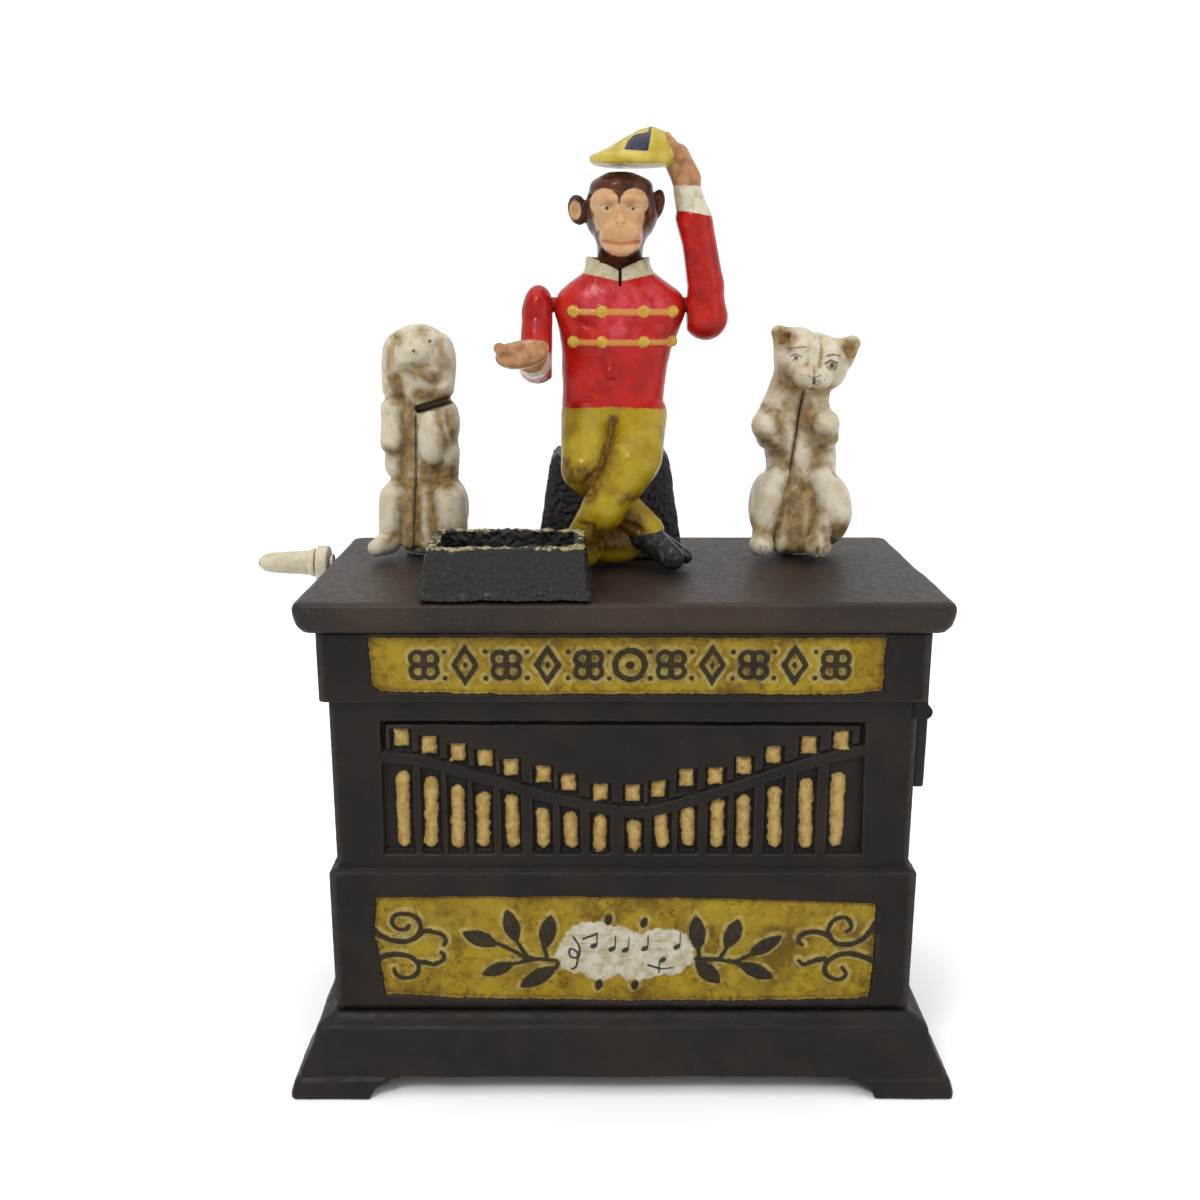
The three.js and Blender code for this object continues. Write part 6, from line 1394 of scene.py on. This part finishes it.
FRONT = M.copy()
FRONT.keep(lambda X, Y, Z: np.maximum(Y - 7.85, np.minimum(Y - 5.0, 128.6 - Z)) + 0 * X)
casting("monkey_front_casting", FRONT, M_MONKEY, "root", "monkey_front_half", rough=0.045, grain=1.2, seed=71, paint=monkey_marks, wide=1.8)
BACK = M.copy()
BACK.keep(lambda X, Y, Z: np.maximum(8.15 - Y, 128.7 - Z) + 0 * X)
casting("monkey_back_casting", BACK, M_MONKEY, "root", "monkey_back_half", rough=0.045, grain=1.2, seed=72, paint=monkey_marks, wide=1.8)

# the arm with the coin hand
A = Field([-27, -22, 143], [-14.5, 13, 165], 0.24)
A.add(egg((-17.7, 7.4, 159.4), (3.2, 4.1, 4.7)))
A.add(capsule((-17.7, 7.2, 158), (-17.8, 2.4, 148.0), 3.5, 3.8), 1.2)
A.add(capsule((-17.8, 1.8, 147.9), (-18.4, -6.6, 149.3), 3.8, 3.2), 1.0)
A.add(capsule((-18.3, -6.2, 149.4), (-18.6, -9.0, 149.9), 3.35, 3.1), 0.15)
A.add(egg((-20.0, -13.8, 150.9), (5.4, 6.6, 2.5), (8, -12, 10)), 1.0)
for q in range(4):
    fx = -23.6 + q * 2.0
    A.add(capsule((fx + 0.6, -15.2, 151.3), (fx - 0.6, -19.2 + abs(q - 1.5) * 0.7, 152.2), 1.35, 1.15), 0.7)
A.add(capsule((-16.6, -9.8, 150.9), (-15.9, -13.8, 152.4), 1.5, 1.1), 0.5)
A.cut(egg((-20.6, -14.4, 154.6), (3.4, 4.4, 1.9)), 1.0)
A.keep(lambda X, Y, Z: X + 14.8 + 0 * Y + 0 * Z)
A.cut(cyl((-18.1, 8, 160), 0, 1.9, 5, 0.02))


def hand_marks(V, N):
    x, y, z = V.T
    big = np.full(len(V), 9.0)
    return {"hand": y + 9.4 + 0.2 * noise(V, 2, 93), "cuff": np.maximum(y + 3.6 + 0.3 * noise(V, 3, 95), -9.6 - y), "hat": big, "panel": big}


casting("coin_hand_arm_casting", A, M_ARM, "arms", "coin_hand_arm", rough=0.045, grain=1.1, seed=73, paint=hand_marks, wide=1.6)

# the arm that lifts the cap
hr = np.array([(-6.6, 189.65, 189.15, 0.5), (-5.6, 190.3, 188.7, 2.4), (-3, 191.5, 188.1, 5.0), (0, 193.2, 187.8, 6.7), (3, 194.8, 187.7, 7.5), (6, 195.6, 187.7, 7.3), (8.5, 194.6, 187.8, 6.1), (10.4, 191.8, 188.6, 3.6)])


def cap_shape(X, Y, Z):
    zt, zb, hy = (np.interp(X, hr[:, 0], hr[:, i]) for i in (1, 2, 3))
    zc, hz = (zt + zb) / 2, (zt - zb) / 2
    t = np.clip((Z - zb) / np.maximum(zt - zb, 0.1), 0, 1)
    w = hy * (1 - 0.52 * t ** 1.6)
    d = ((np.abs(Y - 7) / np.maximum(w, 0.2)) ** 2.3 + (np.abs(Z - zc) / np.maximum(hz, 0.2)) ** 2.3) ** (1 / 2.3) - 1
    return np.maximum(d * np.minimum(w, hz) * 0.85, np.maximum(-6.5 - X, X - 10.3))


def brim_shape(X, Y, Z):
    q = ((np.abs(X - 1.6) / 8.5) ** 2.2 + (np.abs(Y - 7) / 8.0) ** 2.0) ** 0.5
    d2 = (q - 1) * 7.6
    zc = 188.9 + 0.35 * np.clip((-X - 1) / 6, 0, 1) ** 1.5
    return np.hypot(np.maximum(d2 + 1.0, 0), Z - zc) - 1.02 + np.minimum(d2 + 1.0, 0) * 0


cap = (cap_shape, [-6.8, -1.2, 187.4], [10.6, 15.2, 196.2])
brim = (brim_shape, [-7.4, -1.4, 187.5], [10.6, 15.4, 190.4])
B = Field([-7.2, -1.4, 152], [22.6, 15.4, 196.2], 0.25)
B.add(egg((17.7, 6.8, 157.2), (4.6, 4.7, 4.5)))
B.add(capsule((15.8, 8, 159.2), (17.4, 7.0, 158), 3.7, 4.2), 0.8)
B.add(capsule((17.6, 6.6, 158), (17.4, 6.6, 164), 4.4, 3.8), 0.8)
B.add(capsule((17.3, 6.6, 164), (14.9, 6.8, 176.9), 4.0, 3.8), 0.8)
B.add(capsule((14.9, 6.8, 176.6), (14.8, 6.8, 177.2), 3.95, 3.85), 0.15)
B.add(capsule((14.6, 6.9, 178.4), (13.4, 7.0, 183.0), 3.3, 2.9), 0.25)
B.add(capsule((13.2, 7.0, 185.2), (11.0, 7.0, 189.6), 3.0, 2.8), 0.5)
B.add(cap, 0.0)
B.add(brim, 0.5)
for q in range(4):
    fy = 4.0 + q * 2.0
    B.add(capsule((11.6, fy, 189.8), (8.9, 4.6 + q * 1.6, 193.6 - abs(q - 1.5) * 0.4), 1.35, 1.05), 0.45)
B.keep(lambda X, Y, Z: np.interp(Z, [0, 164, 172, 181, 184], [13.75, 13.75, 12.6, 9.9, -50]) - X + 0 * Y)
B.keep(lambda X, Y, Z: np.where(Z > 186.5, 187.55 - Z, -9.0) * (X < 8.4) + -9.0 * (X >= 8.4) + 0 * Y)
B.cut(cyl((12, 8, 160), 0, 1.9, 5.5, 0.02))


def raised_marks(V, N):
    x, y, z = V.T
    d = np.minimum(cap_shape(x, y, z), brim_shape(x, y, z))
    fing = np.full(len(V), 9.0)
    for q in range(4):
        fing = np.minimum(fing, capsule((11.6, 4.0 + q * 2.0, 189.8), (8.9, 4.6 + q * 1.6, 193.6 - abs(q - 1.5) * 0.4), 1.35, 1.05)[0](x, y, z))
    hat = np.where(z > 186.8, np.maximum(d - 0.30, -(fing - 0.12)), 9.0)
    panel = poly2(x, z, [(0.2, 190.6), (0.9, 192.4), (2.2, 193.6), (5.7, 194.3), (5.3, 192.0), (4.9, 190.2), (2.5, 190.3)])
    panel = np.minimum(panel, seg2(x, z, (5.3, 194.2), (5.8, 196.2), 0.22))
    panel = np.where(y < 7, panel, 9.0)
    cuffz = 178.4 - 0.16 * (x - 15)
    return {"hand": 183.9 - z + 0.1 * noise(V, 2, 94), "cuff": np.maximum(cuffz - z, z - 184.2), "hat": hat, "panel": panel}


casting("hat_arm_casting", B, M_ARM, "arms", "hat_arm", rough=0.04, grain=1.1, seed=74, paint=raised_marks, wide=1.6)


# ---------------------------------------------------------------- floor, light
floor_mesh = bpy.data.meshes.new("floor")
floor_mesh.from_pydata([(-12, -12, 0), (12, -12, 0), (12, 12, 0), (-12, 12, 0)], [], [(0, 1, 2, 3)])
floor = bpy.data.objects.new("floor", floor_mesh)
scene.collection.objects.link(floor)
FM = Mat("floor_paper")
floor_mesh.materials.append(FM.done(FM.mix(FM.span(FM.noise(60, 3), 0.3, 0.7), (0.93, 0.93, 0.93), (0.91, 0.91, 0.915)), FM.span(FM.noise(20, 3), 0.3, 0.7, 0.85, 0.95), spec=0.2))

world = bpy.data.worlds.new("world")
scene.world = world
world.use_nodes = True
# the studio is white behind and round the horizon, and dimmer high in front of the object
wt = world.node_tree
wc = wt.nodes.new("ShaderNodeTexCoord")
ws = wt.nodes.new("ShaderNodeSeparateXYZ")
wm = wt.nodes.new("ShaderNodeMapRange")
wm.interpolation_type = "SMOOTHSTEP"
for i, v in enumerate((-0.6, 0.55, 0.36, 1.02)):
    wm.inputs[1 + i].default_value = v
wz = wt.nodes.new("ShaderNodeMapRange")
wz.interpolation_type = "SMOOTHSTEP"
for i, v in enumerate((0.20, 0.42, 0.0, 1.0)):
    wz.inputs[1 + i].default_value = v
wx = wt.nodes.new("ShaderNodeMix")
wx.inputs[2].default_value = 1.02
wt.links.new(wc.outputs["Generated"], ws.inputs[0])
wt.links.new(ws.outputs["Y"], wm.inputs[0])
wt.links.new(ws.outputs["Z"], wz.inputs[0])
wt.links.new(wz.outputs[0], wx.inputs[0])
wt.links.new(wm.outputs[0], wx.inputs[3])
wt.links.new(wx.outputs[0], wt.nodes["Background"].inputs[1])
wt.nodes["Background"].inputs[0].default_value = (1, 1, 1, 1)


def area(name, loc, target, size, power, color=(1, 1, 1)):
    d = bpy.data.lights.new(name, "AREA")
    d.shape, d.size, d.size_y, d.energy, d.color = "RECTANGLE", size[0], size[1], power, color
    o = bpy.data.objects.new(name, d)
    scene.collection.objects.link(o)
    o.location = loc
    o.rotation_euler = (Vector(target) - Vector(loc)).to_track_quat("-Z", "Y").to_euler()
    return o


area("key", (-0.25, -0.50, 0.62), (0, 0, 0.1), (0.16, 0.16), 2.1, (1, 0.985, 0.96))
area("fill", (0.55, -0.35, 0.35), (0, 0, 0.1), (0.4, 0.4), 0.7)
sun = bpy.data.objects.new("sky", bpy.data.lights.new("sky", "SUN"))
sun.data.energy, sun.data.angle = 1.7, 1.4
sun.rotation_euler = (math.radians(12), 0, 0)
scene.collection.objects.link(sun)
scene.view_settings.view_transform = "Standard"
scene.view_settings.look = "None"
